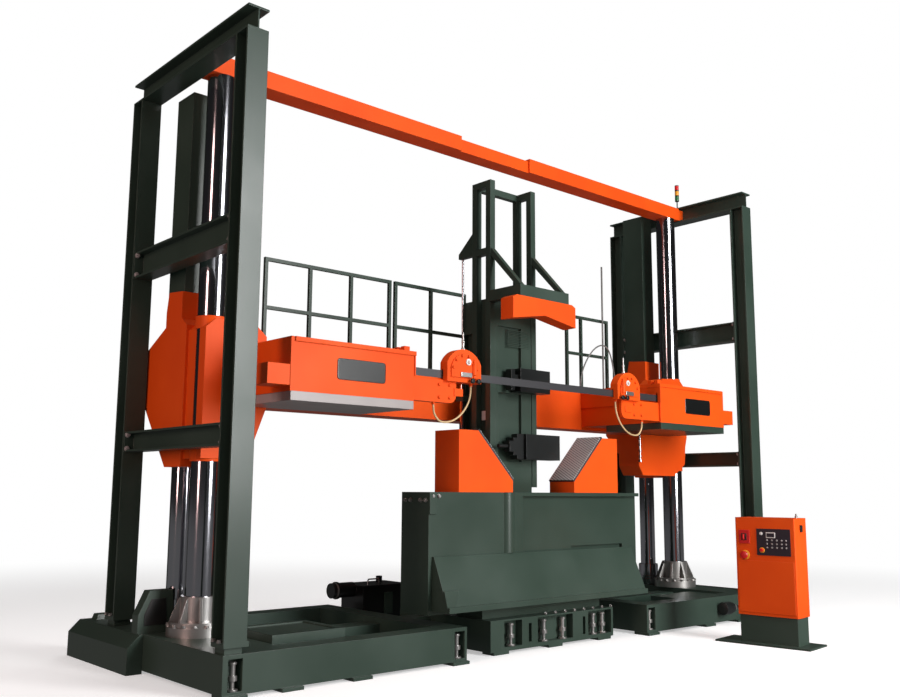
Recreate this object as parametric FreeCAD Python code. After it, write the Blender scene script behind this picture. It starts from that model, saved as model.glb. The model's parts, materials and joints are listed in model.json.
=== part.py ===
import FreeCAD, Part
import math
import os

os.makedirs("parts", exist_ok=True)

# Horizontal band saw for very wide blocks, millimetres, +Z up, -Y is the front.
# The origin is on the floor, midway between the two front guide columns.

# Guide columns and lifting rods
column_x = 3667.0
column_radius = 136.0
rod_y = 457.0
rod_radius = 105.0
rod_top = 4480.0
sleeve_clearance = 0.5
running_gap = 6.0
slide_fit = 0.3

# Carriages round the columns
carriage_outer_reach = 163.0
carriage_inner_reach = 167.0
carriage_outer = column_x + carriage_outer_reach
carriage_inner = column_x - carriage_inner_reach
sleeve_front = -155.0
sleeve_back = 187.0
bush_radius = 148.0
bush_depth = 120.0

# End frames
post_size = 210.0
post_gap = 17.0
frame_half_width = carriage_outer + post_gap + post_size
frame_half_depth = 1188.0
frame_top = 5887.0
flange = 20.0
web = 14.0
top_beam_depth = 222.0
upper_rail_low = 3765.0
upper_rail_high = 4035.0
lower_rail_low = 2015.0
lower_rail_high = 2212.0
rail_narrowing = 40.0
end_plate = 16.0
end_plate_margin = 13.0
foot_plate_height = 95.0
foot_plate = 45.0

# Tie beam between the end frames
tie_half_depth = 125.0
tie_depth = 182.0
tie_high = frame_top - flange
tie_low = tie_high - tie_depth
splice_from = -560.0
splice_to = 615.0
splice_step = 28.0

# Bases
base_top = 345.0
pad_height = 30.0
base_inner_x = 1428.0
base_beam_width = 228.0
side_beam_width = 617.0
side_beam_inner_x = frame_half_width - side_beam_width
bed_half_width = 975.0
bed_front = -1050.0
bed_back = 420.0
outrigger_from = 285.0
outrigger_to = 1714.0
outrigger_reach = 148.0
outrigger_out = frame_half_width + outrigger_reach
outrigger_chamfer = 110.0
middle_beam_half = 130.0
tray_length = 880.0
tray_from = side_beam_inner_x - tray_length
tray_front = base_beam_width - frame_half_depth
tray_back = -400.0
tray_thickness = 60.0
tray_high = base_top - 30.0
tray_low = tray_high - tray_thickness
raised_to = side_beam_inner_x - 57.0
raised_from = raised_to - 774.0
raised_front = tray_front + 148.0
raised_back = -140.0
raised_top = base_top + 55.0
raised_rim = 60.0
raised_recess = 12.0
pocket_depth = 110.0
pocket_width = 130.0
pad_places = (base_inner_x + 95.0, side_beam_inner_x - 748.0, side_beam_inner_x - 30.0, frame_half_width - 115.0)

# Jaw bed, chip trough and jaws
jaw_bed_half_width = 1690.0
jaw_bed_front = -905.0
jaw_bed_thickness = 429.0
jaw_bed_back = jaw_bed_front + jaw_bed_thickness
plinth_height = 95.0
jaw_bed_low = base_top + plinth_height
jaw_bed_top = 1640.0
right_panel_step = 60.0
panel_step_x = -346.0
panel_rim = 40.0
recess_from = 499.0
recess_to = 1425.0
recess_top = 1040.0
pilaster_x = -560.0
pilaster_radius = 100.0
trough_top = 1005.0
trough_lip_reach = 245.0
trough_lip_y = jaw_bed_front - trough_lip_reach
trough_lip_z = 500.0
jaw_outer = 1287.0
jaw_top_inner = 1015.0
jaw_low_inner = 500.0
jaw_height = 645.0
jaw_top = jaw_bed_top + jaw_height
jaw_lip = 125.0
jaw_slope_low = jaw_bed_top + jaw_lip
jaw_depth = 380.0
jaw_plate_thickness = 22.0

# Tower and hold-down clamp
tower_half_width = 298.0
tower_front = -425.0
tower_back = 150.0
tower_top = 3890.0
mast_section = 78.0
mast_x = tower_half_width + running_gap + mast_section / 2
mast_front_y = -392.0
mast_rear_y = -160.0
mast_low = 1700.0
mast_top = 5295.0
platform_front = -940.0
platform_height = 128.0
platform_low = 3822.0
platform_high = platform_low + platform_height
platform_half_width = mast_x + 61.0
clamp_half_width = 520.0
clamp_depth = 194.0
clamp_height = 270.0
clamp_low = platform_low - clamp_height
clamp_rise = 85.0
cylinder_y = 84.0
cylinder_radius = 36.0
cylinder_top = 2900.0
cylinder_rod_radius = 13.0
rod_seat = 4420.0
press_front = -600.0
press_spindle = 22.0
lower_press_from = 30.0
lower_press_length = 570.0
lower_press_low = 2015.0
lower_press_height = 290.0
lower_nose_reach = 370.0
upper_press_from = -60.0
upper_press_length = 500.0
upper_press_low = 2790.0
upper_press_height = 270.0
upper_nose_reach = 230.0

# Band wheels and blade
wheel_radius = 642.0
wheel_width = 90.0
wheel_room = 18.0
blade_y = -985.0
blade_width = 80.0
blade_thickness = 2.6
hub_radius = 110.0
rim_depth = 70.0
strand_back = 2 * wheel_radius + blade_y
wheel_y = blade_y + wheel_radius

# Wheel covers, set in from the columns and sized by the wheels
cover_setback = 247.0
cover_outer = column_x - cover_setback
cover_outer_wall = 63.0
cover_inner_wall = 68.0
wheel_x = cover_outer - cover_outer_wall - wheel_radius
cover_inner = wheel_x - wheel_radius - cover_inner_wall
cover_front_wall = 50.0
cover_front = blade_y - cover_front_wall
cover_low = 2520.0
cover_height = 490.0
cover_high = cover_low + cover_height
lid_overhang = 18.0
lid_height = 42.0
lid_lip = 14.0
end_flange = 12.0
skirt_height = 83.0
skirt_low = cover_low - skirt_height
end_box_length = 230.0
end_box_end = cover_outer + end_box_length
end_box_low = cover_low + 49.0
end_box_high = end_box_low + 186.0
end_box_depth = 255.0
wheel_low = cover_low + 260.0
blade_low = wheel_low + (wheel_width - blade_width) / 2
room_low = wheel_low - wheel_room
room_high = wheel_low + wheel_width + wheel_room

# Main beam behind the covers, guardrails and the casings of the lifting rods
strand_depth = 37.0
beam_front = strand_back - strand_depth
beam_depth = 340.0
beam_margin = 40.0
beam_low = cover_low - beam_margin
beam_high = cover_high + beam_margin
casing_half_width = 122.0
casing_front_wall = 112.0
casing_back_wall = 238.0
casing_from = rod_y - casing_front_wall
casing_to = rod_y + casing_back_wall
casing_low = beam_low + 420.0
left_casing_top = 5627.0
right_casing_top = 5790.0
casing_wall = 12.0
guardrail_setback = 42.0
guardrail_y = beam_front + beam_depth - guardrail_setback
guardrail_tube = 38.0
guardrail_height = 1075.0
guardrail_top = beam_high + guardrail_height
guardrail_middle = beam_high + 530.0
pole_x = carriage_inner - 725.0
pole_y = guardrail_y - 60.0
pole_radius = 13.0
pole_height = 1855.0
pole_foot_height = 16.0
bush_top = cover_high + 266.0
left_bush_low = skirt_low - 528.0
right_bush_low = skirt_low - 483.0

# Blade guide arms, which slide in the covers' pockets
arm_low = cover_low + 14.0
arm_high = blade_low - 20.0
arm_front = blade_y - 23.0
arm_thickness = 73.0
arm_back = arm_front + arm_thickness
arm_gap = 5.0
arm_inner_end = cover_inner + 695.0
arm_pocket_end = cover_inner + 1080.0
guide_back = blade_y + 35.0
guide_front = blade_y - 75.0
guide_block_low = arm_high - 12.0
guide_shoulder = 150.0
guide_cap = 14.0
bar_corner = 90.0
strand_slot = 8.0
strand_slot_height = 12.0
left_guide_outer = cover_inner - 414.0
left_guide_length = 468.0
left_guide_top = guide_block_low + 342.0
left_bar_setback = 301.0
right_guide_outer = cover_inner - 445.0
right_guide_length = 430.0
right_guide_top = guide_block_low + 332.0
right_bar_setback = 128.0

# Hoses and the glands that hold their ends
hose_radius = 10.0
gland_radius = 18.0
gland_length = 24.0
beam_hose_y = beam_front + 168.0
block_gland_x = 1190.0
arm_gland_x = 1700.0
beam_gland_places = (2190.0, 2950.0)

# Control console, turned a few degrees to face the operator
console_x = 2010.0
console_y = -2420.0
console_turn = 83.0
console_width = 685.0
console_shift = 55.0
console_depth = 330.0
console_low = 313.0
console_high = 1378.0
console_base_length = 1075.0
console_base_width = 480.0
console_base = 20.0
console_corner = 14.0
pedestal_inset = 18.0
panel_from = -91.0
panel_to = 291.0
panel_low = 968.0
panel_high = 1258.0
panel_thickness = 6.0
door_margin = 24.0
door_low = 345.0
door_high = 905.0
door_thickness = 5.0


def box(x0, x1, y0, y1, z0, z1):
    """Box between two corners, given in any order."""
    low = FreeCAD.Vector(min(x0, x1), min(y0, y1), min(z0, z1))
    return Part.makeBox(abs(x1 - x0), abs(y1 - y0), abs(z1 - z0), low)


def rod(x, y, z0, z1, radius):
    """Upright cylinder."""
    return Part.makeCylinder(radius, z1 - z0, FreeCAD.Vector(x, y, z0))


def prism_y(points, y0, y1):
    """Outline given as (x, z) points, carried along Y."""
    corners = [FreeCAD.Vector(x, y0, z) for x, z in points]
    face = Part.Face(Part.makePolygon(corners + corners[:1]))
    return face.extrude(FreeCAD.Vector(0, y1 - y0, 0))


def prism_x(points, x0, x1):
    """Outline given as (y, z) points, carried along X."""
    corners = [FreeCAD.Vector(x0, y, z) for y, z in points]
    face = Part.Face(Part.makePolygon(corners + corners[:1]))
    return face.extrude(FreeCAD.Vector(x1 - x0, 0, 0))


def prism_z(points, z0, z1):
    """Outline given as (x, y) points, carried along Z."""
    corners = [FreeCAD.Vector(x, y, z0) for x, y in points]
    face = Part.Face(Part.makePolygon(corners + corners[:1]))
    return face.extrude(FreeCAD.Vector(0, 0, z1 - z0))


def mirrored(shape):
    """The same piece on the other end of the machine."""
    return shape.mirror(FreeCAD.Vector(0, 0, 0), FreeCAD.Vector(1, 0, 0))


def fused(shapes):
    """One solid out of pieces that share faces or volume."""
    whole = shapes[0]
    for shape in shapes[1:]:
        whole = whole.fuse(shape)
    return whole.removeSplitter()


def save(name, shape):
    """Write one node."""
    shape.exportStep("parts/" + name + ".step")


def gland(x, y, z):
    """Upright screwed fitting that holds a hose end."""
    return rod(x, y, z, z + gland_length, gland_radius)


def section(width, depth):
    """Outline of an H section, flanges across the depth, centred on zero."""
    half = width / 2
    core = web / 2
    edge = depth / 2
    inner = edge - flange
    return [(-half, -edge), (half, -edge), (half, -inner), (core, -inner),
            (core, inner), (half, inner), (half, edge), (-half, edge),
            (-half, inner), (-core, inner), (-core, -inner), (-half, -inner)]


# End frames, drawn on the right and mirrored
frame_x = frame_half_width - post_size / 2
post_y = frame_half_depth - post_size / 2
post_low = base_top + foot_plate_height
post_high = frame_top - top_beam_depth


def frame_post(y):
    """Upright H section on its stepped foot."""
    outline = [(frame_x + a, y + b) for a, b in section(post_size, post_size)]
    upright = prism_z(outline, post_low, post_high)
    edge = post_size / 2
    plate = box(frame_x - edge - 20, frame_x + edge, y - edge, y + edge, post_low - foot_plate, post_low)
    sole_x = edge - 25
    sole_y = edge - 30
    sole = box(frame_x - sole_x, frame_x + sole_x, y - sole_y, y + sole_y, base_top, post_low - foot_plate)
    return fused([upright, plate, sole])


def frame_rail(low, high):
    """Rail between the posts, with a bolted plate at each end."""
    rail_width = post_size - rail_narrowing
    plate_half = rail_width / 2 + end_plate_margin
    outline = [(frame_x + a, (low + high) / 2 + b) for a, b in section(rail_width, high - low)]
    inner = post_y - post_size / 2
    bar = prism_y(outline, -inner + end_plate, inner - end_plate)
    plates = []
    for side in (-1, 1):
        face = side * inner
        plates.append(box(frame_x - plate_half, frame_x + plate_half, face, face - side * end_plate, low - 4, high + 4))
    return fused([bar] + plates)


top_middle = frame_top - top_beam_depth / 2
top_outline = [(frame_x + a, top_middle + b) for a, b in section(post_size, top_beam_depth)]
top_beam = prism_y(top_outline, -frame_half_depth, frame_half_depth)
rails = Part.makeCompound([frame_rail(upper_rail_low, upper_rail_high),
                           frame_rail(lower_rail_low, lower_rail_high)])
for side, name in ((1, "right"), (-1, "left")):
    turn = (lambda s: s) if side > 0 else mirrored
    save(name + "_front_post", turn(frame_post(-post_y)))
    save(name + "_rear_post", turn(frame_post(post_y)))
    save(name + "_top_beam", turn(top_beam))
    save(name + "_frame_rails", turn(rails))

# Tie beam, three lengths with a slimmer splice between them
tie_end = frame_half_width - post_size
tie_main = box(-tie_end, tie_end, -tie_half_depth, tie_half_depth, tie_low, tie_high)
tie_cut = box(splice_from, splice_to, -tie_half_depth, -tie_half_depth + splice_step, tie_low, tie_high)
tie_top_cut = box(splice_from, splice_to, -tie_half_depth, tie_half_depth, tie_high - splice_step, tie_high)
tie_beam = tie_main.cut(tie_cut).cut(tie_top_cut)
tie_web_edge = frame_x - web / 2
tie_stub = box(tie_end, tie_web_edge, -tie_half_depth, tie_half_depth, tie_low, tie_high - flange)
save("tie_beam", fused([tie_beam, tie_stub, mirrored(tie_stub)]))

# Guide columns with their footing collars, and the lifting rods
collar_top = 690.0
collar_flange_radius = 285.0
collar_flange_top = 470.0
collar_sleeve_radius = 172.0
fin_count = 8
fin_thickness = 26.0


def collar(x, y, bore, flange_radius, sleeve_radius, top):
    """Stepped ring flange, sleeve and triangular fins round a column."""
    ring = rod(x, y, base_top, collar_flange_top - 40, flange_radius)
    step = rod(x, y, collar_flange_top - 40, collar_flange_top, flange_radius - 22)
    sleeve = rod(x, y, collar_flange_top, top, sleeve_radius)
    pieces = [ring, step, sleeve]
    for index in range(fin_count):
        foot = flange_radius - 30
        fin_low = collar_flange_top - 2
        outline = [(bore + 4, fin_low), (foot, fin_low), (foot, fin_low + 28), (sleeve_radius + 6, top - 12),
                   (bore + 4, top - 12)]
        fin = prism_y(outline, -fin_thickness / 2, fin_thickness / 2)
        fin.rotate(FreeCAD.Vector(0, 0, 0), FreeCAD.Vector(0, 0, 1), 22.5 + index * 360.0 / fin_count)
        fin.translate(FreeCAD.Vector(x, y, 0))
        pieces.append(fin)
    return fused(pieces).cut(rod(x, y, base_top, top, bore))


guide_column = rod(column_x, 0, base_top, tie_low, column_radius)
column_collar = collar(column_x, 0, column_radius, collar_flange_radius, collar_sleeve_radius, collar_top)
rod_collar_radius = rod_y - collar_flange_radius - running_gap
rod_collar = collar(column_x, rod_y, rod_radius, rod_collar_radius, rod_radius + 28, collar_top - 60)
lift_rod = fused([rod(column_x, rod_y, base_top, rod_top, rod_radius), rod_collar])
for side, name in ((1, "right"), (-1, "left")):
    turn = (lambda s: s) if side > 0 else mirrored
    save(name + "_guide_column", turn(guide_column))
    save(name + "_column_collar", turn(column_collar))
    save(name + "_lift_rod", turn(lift_rod))


# Bases
def anchor_pocket(x, y0, y1, width, low, high):
    """Recess in a beam's face for an anchor bolt."""
    return box(x - width / 2, x + width / 2, y0, y1, low, high)


def end_base():
    """Welded base frame under one end of the machine."""
    outer = frame_half_width
    edge = frame_half_depth
    front = box(base_inner_x, outer, -edge, -edge + base_beam_width, pad_height, base_top)
    back = box(base_inner_x, outer, edge - base_beam_width, edge, pad_height, base_top)
    side = box(side_beam_inner_x, outer, -frame_half_depth, frame_half_depth, pad_height, base_top)
    inner = box(base_inner_x, base_inner_x + 250, -frame_half_depth, frame_half_depth, pad_height, base_top)
    middle = box(base_inner_x, outer, -middle_beam_half, middle_beam_half, pad_height + 60, base_top - 60)
    tray = box(tray_from, side_beam_inner_x, tray_front, tray_back, tray_low, tray_high)
    whole = fused([front, back, side, inner, middle, tray])
    for x in (pad_places[0], pad_places[-1]):
        for y in (-frame_half_depth, frame_half_depth):
            inward = y + pocket_depth if y < 0 else y - pocket_depth
            whole = whole.cut(anchor_pocket(x, y, inward, pocket_width, pad_height + 25, base_top - 35))
    pads = []
    for x in pad_places:
        for y in (-frame_half_depth + 90, frame_half_depth - 90):
            pads.append(box(x - 105, x + 105, y - 120, y + 90, 0, pad_height))
    return fused([whole] + pads)


right_base = end_base()
save("right_base", right_base)
plate = box(raised_from, raised_to, raised_front, raised_back, tray_high, raised_top)
rim = raised_rim
recess_low = raised_top - raised_recess
recess = box(raised_from + rim, raised_to - rim, raised_front + rim, raised_back - rim, recess_low, raised_top)
save("left_base", mirrored(fused([right_base, plate.cut(recess)])))

outrigger_in = side_beam_inner_x + 360
outrigger_outline = [(outrigger_in, 0), (outrigger_out, 0), (outrigger_out, base_top - outrigger_chamfer),
                     (outrigger_out - outrigger_chamfer, base_top), (outrigger_in, base_top)]
outrigger = prism_y(outrigger_outline, outrigger_from, outrigger_to)
base_edge = box(side_beam_inner_x, frame_half_width, -frame_half_depth, frame_half_depth, 0, base_top)
outrigger = outrigger.cut(base_edge)
save("left_side_cover", mirrored(outrigger))
save("right_side_cover", outrigger)

bed = box(-bed_half_width, bed_half_width, bed_front, bed_back, pad_height, base_top)
pocket_places = ((-650, 265), (0, 560), (740, 400))
for x, width in pocket_places:
    bed = bed.cut(anchor_pocket(x, bed_front, bed_front + 90, width, pad_height + 40, base_top - 18))
for x in (-395, 470):
    bed = bed.cut(box(x - 22, x + 22, bed_front, bed_front + 60, 90, 280))
bed_pads = [box(x - 110, x + 110, y - 60, y + 110, 0, pad_height)
            for x in (-820, 0, 820) for y in (bed_front + 60, -40, bed_back - 110)]
links = [box(side * bed_half_width, side * base_inner_x, -120, 120, pad_height + 30, base_top - 40)
         for side in (-1, 1)]
plinth_half = bed_half_width - 40
plinth = box(-plinth_half, plinth_half, jaw_bed_front + 20, jaw_bed_back - 10, base_top, jaw_bed_low)
save("machine_bed", fused([bed, plinth] + bed_pads + links))

# Jaw bed with its rounded pilaster, stepped right panel and brackets
jaw_bed = box(-jaw_bed_half_width, jaw_bed_half_width, jaw_bed_front, jaw_bed_back, jaw_bed_low, jaw_bed_top)
panel_face = jaw_bed_front + right_panel_step
step_top = jaw_bed_top - panel_rim
step_cut = box(panel_step_x, jaw_bed_half_width, jaw_bed_front, panel_face, jaw_bed_low, step_top)
panel_recess = box(recess_from, recess_to, jaw_bed_front, panel_face + 40, jaw_bed_low + 60, recess_top)
pilaster = rod(pilaster_x, jaw_bed_front + 60, trough_top, jaw_bed_top, pilaster_radius)
end = -jaw_bed_half_width
bracket = box(end, end + 90, jaw_bed_front - 18, jaw_bed_front, jaw_bed_top - 220, jaw_bed_top)
jaw_bed = fused([jaw_bed.cut(step_cut).cut(panel_recess), pilaster, bracket])
save("jaw_bed", jaw_bed)

slope_thickness = 16.0
trough_left = -1640.0
trough_right = 1480.0
trough_under = trough_lip_z - slope_thickness - 6
lip_top = trough_lip_z + 34
slope = [(jaw_bed_front, trough_top), (jaw_bed_front - 24, trough_top), (trough_lip_y, trough_lip_z),
         (trough_lip_y, lip_top), (trough_lip_y - 22, lip_top), (trough_lip_y - 22, trough_under),
         (trough_lip_y + 12, trough_under), (jaw_bed_front, trough_top - 46)]
trough = prism_x(slope, trough_left, trough_right)
gusset = [(jaw_bed_front, trough_top - 46), (trough_lip_y + 12, trough_under), (jaw_bed_front, trough_under)]
ribs = [prism_x(gusset, x, x + 14) for x in (trough_left, -400, 560, trough_right - 14)]
save("chip_trough", fused([trough] + ribs))

# Jaws with the slanted faces that carry the serrated plates
jaw_outline = [(jaw_outer, jaw_bed_top), (jaw_outer, jaw_top), (jaw_top_inner, jaw_top),
               (jaw_low_inner, jaw_slope_low), (jaw_low_inner, jaw_bed_top)]
jaw = prism_y(jaw_outline, jaw_bed_front, jaw_bed_front + jaw_depth)
run = jaw_top_inner - jaw_low_inner
rise = jaw_top - jaw_slope_low
reach = math.hypot(run, rise)
normal = (-rise / reach * jaw_plate_thickness, run / reach * jaw_plate_thickness)
plate_outline = [(jaw_low_inner, jaw_slope_low), (jaw_top_inner, jaw_top),
                 (jaw_top_inner + normal[0], jaw_top + normal[1]),
                 (jaw_low_inner + normal[0], jaw_slope_low + normal[1])]
jaw_plate = prism_y(plate_outline, jaw_bed_front, jaw_bed_front + jaw_depth)
save("right_jaw", jaw)
save("left_jaw", mirrored(jaw))
save("right_jaw_plate", jaw_plate)
save("left_jaw_plate", mirrored(jaw_plate))

# Tower between the saw's front strand and the main beam
tower = box(-tower_half_width, tower_half_width, tower_front, tower_back, base_top, tower_top)
tower = tower.cut(box(-250, 130, tower_front, tower_front + 40, 1990, 2780))
tower = tower.cut(box(-250, 130, tower_front, tower_front + 40, 3080, 3560))
tower = tower.cut(box(-tower_half_width, -tower_half_width + 60, -100, 100, 600, 3500))
mount_arms = [box(-mast_x - 50, -tower_half_width, cylinder_y - 60, cylinder_y + 60, z, z + 60)
              for z in (1200, 2700)]
tower = fused([tower] + mount_arms).cut(rod(-mast_x, cylinder_y, 1000, 2900, cylinder_radius + 0.3))
save("tower", tower)

cylinder = rod(-mast_x, cylinder_y, base_top, cylinder_top, cylinder_radius)
cylinder = cylinder.cut(rod(-mast_x, cylinder_y, 2000, cylinder_top, cylinder_rod_radius + sleeve_clearance))
save("clamp_cylinder", cylinder)


half_mast = mast_section / 2


def clamp_unit(x0, length, z0, height, nose_reach, steps):
    """Side press: block on the tower's face with a stepped spindle nose."""
    x1 = x0 + length
    z1 = z0 + height
    nose_end = x0 - nose_reach
    back = mast_front_y - half_mast - running_gap
    block = box(x0, x1, press_front, back, z0, z1)
    foot = box(max(x0, 30 - tower_half_width), 240, back, tower_front, z0 + 20, z1 - 20)
    pieces = [block, foot]
    middle = (z0 + z1) / 2
    reach = x0
    for step, half in steps:
        pieces.append(box(reach - step, reach, press_front + 40, back - 30, middle - half, middle + half))
        reach = reach - step
    nose = FreeCAD.Vector(nose_end, press_front + 85, middle)
    pieces.append(Part.makeCylinder(press_spindle, reach - nose_end, nose, FreeCAD.Vector(1, 0, 0)))
    return fused(pieces)


save("lower_press", clamp_unit(lower_press_from, lower_press_length, lower_press_low, lower_press_height,
                               lower_nose_reach, ((110, 145), (60, 100), (60, 62))))
save("upper_press", clamp_unit(upper_press_from, upper_press_length, upper_press_low, upper_press_height,
                               upper_nose_reach, ((50, 60), (60, 120))))

# Hold-down clamp: four masts, top frame, braced platform and notched clamp head
mast_places = [(s * mast_x, y) for s in (-1, 1) for y in (mast_front_y, mast_rear_y)]
masts = [box(x - half_mast, x + half_mast, y - half_mast, y + half_mast, mast_low, mast_top)
         for x, y in mast_places]
inner_x = mast_x - half_mast
outer_x = mast_x + half_mast
span_front = mast_front_y + half_mast
span_back = mast_rear_y - half_mast
top_low = mast_top - mast_section
frame_bars = [box(s * inner_x, s * outer_x, span_front, span_back, top_low, mast_top) for s in (-1, 1)]
frame_bars.append(box(-inner_x, inner_x, span_back, span_back + mast_section, top_low, mast_top))
frame_bars.append(box(-outer_x, -inner_x, span_front, span_back, rod_seat - 20, rod_seat + 60))
bracket_back = mast_rear_y + half_mast
bracket_outline = [(bracket_back, rod_seat + 280), (bracket_back, rod_seat), (cylinder_y + 45, rod_seat),
                   (cylinder_y + 45, rod_seat + 60)]
cylinder_bracket = prism_x(bracket_outline, -mast_x - 30, -mast_x + 30)
save("clamp_masts", fused(masts + frame_bars + [cylinder_bracket]))

mast_face = mast_front_y - half_mast
side_bar_depth = 100.0
side_bar_inner = platform_half_width - side_bar_depth
platform_bars = [box(s * side_bar_inner, s * platform_half_width, platform_front, mast_face, platform_low,
                     platform_high) for s in (-1, 1)]
platform_bars.append(box(-platform_half_width, platform_half_width, platform_front, platform_front + 100,
                         platform_low, platform_high))
brace_top = 4470.0
brace_width = 62.0
brace_outline = [(mast_face, brace_top), (mast_face, brace_top - 95), (platform_front + 95, platform_high),
                 (platform_front + 20, platform_high)]
braces = [prism_x(brace_outline, s * mast_x - brace_width / 2, s * mast_x + brace_width / 2) for s in (-1, 1)]
save("clamp_platform", fused(platform_bars + braces))

head_outline = [(-clamp_half_width, clamp_low), (0, clamp_low + clamp_rise), (clamp_half_width, clamp_low),
                (clamp_half_width, platform_low - 30), (clamp_half_width - 60, platform_low),
                (-clamp_half_width + 60, platform_low), (-clamp_half_width, platform_low - 30)]
clamp_head = prism_y(head_outline, platform_front, platform_front + clamp_depth)
save("clamp_head", clamp_head)
rod_low = 2850.0
clamp_rod = rod(-mast_x, cylinder_y, rod_low, rod_seat, cylinder_rod_radius)
save("clamp_rod", clamp_rod)

# Saw head: main beam with the passage of the rear strand
beam = box(-carriage_inner, carriage_inner, beam_front, beam_front + beam_depth, beam_low, beam_high)
passage = box(-wheel_x, wheel_x, strand_back - wheel_room, strand_back + wheel_room, room_low, room_high)
beam = beam.cut(passage)
for s in (-1, 1):
    beam = beam.cut(rod(s * wheel_x, wheel_y, room_low, room_high, wheel_radius + wheel_room))
beam_glands = [gland(x, beam_hose_y, beam_high) for x in beam_gland_places]
save("main_beam", fused([beam] + beam_glands))

# Pole that carries the travel switch of the head
foot_top = beam_high + pole_foot_height
pole_foot = rod(pole_x, pole_y, beam_high, foot_top, 3 * pole_radius)
save("cable_pole", fused([pole_foot, rod(pole_x, pole_y, foot_top, beam_high + pole_height, pole_radius)]))

# Carriages: a bracket round the guide column and a housing round the lifting rod
low = beam_low
housing_back = beam_front + beam_depth
housing_outline = [(sleeve_back, low - 580), (sleeve_back, low + 735), (300, low + 810), (300, low + 1080),
                   (597, low + 1106), (637, low + 908), (637, low + 757), (housing_back + 495, low + 533),
                   (housing_back + 458, low + 14), (525, low - 618), (sleeve_back, low - 618)]
housing = prism_x(housing_outline, carriage_inner, carriage_outer)
housing = housing.cut(box(column_x - casing_half_width, column_x + casing_half_width, casing_from, casing_to,
                          casing_low, casing_low + 800))
housing = housing.cut(rod(column_x, rod_y, low - 680, casing_low, rod_radius + sleeve_clearance))
outer_face = carriage_outer - 30
high = cover_high
upper_bracket = [(outer_face, high + 30), (outer_face, high + 150), (column_x + 33, high + 240),
                 (column_x - 377, high + 240), (column_x - 517, high + 120), (column_x - 517, high),
                 (cover_outer, high), (cover_outer, skirt_low)]
left_lower = [(column_x - 537, skirt_low), (column_x - 418, skirt_low - 315), (cover_outer, skirt_low - 502),
              (outer_face, skirt_low - 502)]
right_lower = [(column_x - 967, skirt_low), (column_x - 967, skirt_low - 427), (column_x - 877, skirt_low - 557),
               (carriage_inner, skirt_low - 557), (column_x + 97, skirt_low - 387),
               (column_x + 122, skirt_low - 137), (carriage_outer, skirt_low)]


def carriage(lower, bush_low):
    """Bracket and housing as one weldment, with bushes bored for the column."""
    bracket_shape = prism_y(upper_bracket + lower, sleeve_front, sleeve_back)
    bushes = [rod(column_x, 0, bush_top - bush_depth, bush_top, bush_radius),
              rod(column_x, 0, bush_low, bush_low + bush_depth, bush_radius)]
    whole = fused([bracket_shape, housing] + bushes)
    return whole.cut(rod(column_x, 0, bush_low - bush_depth, bush_top, column_radius + sleeve_clearance))


save("left_carriage", mirrored(carriage(left_lower, left_bush_low)))
save("right_carriage", carriage(right_lower, right_bush_low))

# Casings of the lifting cylinders, open below, standing in the carriages
def cylinder_casing(top):
    """Square tube with a closed top over the lifting rod."""
    low_x = column_x - casing_half_width
    high_x = column_x + casing_half_width
    outside = box(low_x, high_x, casing_from, casing_to, casing_low, top)
    front_wall = rod_y - rod_radius - running_gap
    inside = box(low_x + casing_wall, high_x - casing_wall, front_wall, casing_to - casing_wall, casing_low,
                 top - casing_wall)
    return outside.cut(inside)


save("right_cylinder_casing", cylinder_casing(right_casing_top))
save("left_cylinder_casing", mirrored(cylinder_casing(left_casing_top)))


# Wheel covers, cut for the wheel, the strand and the guide arm
def wheel_cover():
    shell = box(cover_inner, cover_outer, cover_front, beam_front, cover_low, cover_high)
    lid_from = cover_inner - lid_overhang
    lid_low = cover_high - lid_height
    lid = box(lid_from, cover_outer - 40, cover_front - lid_lip, beam_front, lid_low, cover_high)
    back = sleeve_front - running_gap
    lid_step = box(lid_from + 60, cover_outer - 100, cover_front + 60, back, cover_high, cover_high + lid_lip)
    flange_front = cover_front - end_flange
    flange_x = cover_inner - end_flange
    flange_plate = box(flange_x, cover_inner, flange_front, beam_front, arm_high + arm_gap, lid_low)
    skirt = box(cover_inner + 4, cover_outer - 8, cover_front, back, skirt_low, cover_low)
    box_front = cover_front + 5
    end_box = box(cover_outer, end_box_end, box_front, box_front + end_box_depth, end_box_low, end_box_high)
    whole = fused([shell, lid, lid_step, flange_plate, end_box])
    whole = whole.cut(rod(wheel_x, wheel_y, room_low, room_high, wheel_radius + wheel_room))
    mouth = cover_inner - 30
    for y in (blade_y, strand_back):
        whole = whole.cut(box(mouth, wheel_x, y - wheel_room, y + wheel_room, room_low, room_high))
    pocket = box(mouth, arm_pocket_end, arm_front - arm_gap, arm_back + slide_fit, arm_low - slide_fit,
                 arm_high + slide_fit)
    return whole.cut(pocket), skirt


cover, skirt = wheel_cover()
save("right_wheel_cover", cover)
save("left_wheel_cover", mirrored(cover))
save("right_cover_skirt", skirt)
save("left_cover_skirt", mirrored(skirt))

# Band wheels and the one closed blade
rim = rod(wheel_x, wheel_y, wheel_low, wheel_low + wheel_width, wheel_radius - blade_thickness / 2)
rim = rim.cut(rod(wheel_x, wheel_y, wheel_low, wheel_low + wheel_width, wheel_radius - rim_depth))
disc = rod(wheel_x, wheel_y, wheel_low + 30, wheel_low + 55, wheel_radius - rim_depth)
spindle = rod(wheel_x, wheel_y, room_low, room_high, hub_radius)
wheel = fused([rim, disc, spindle])
save("right_band_wheel", wheel)
save("left_band_wheel", mirrored(wheel))


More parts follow.
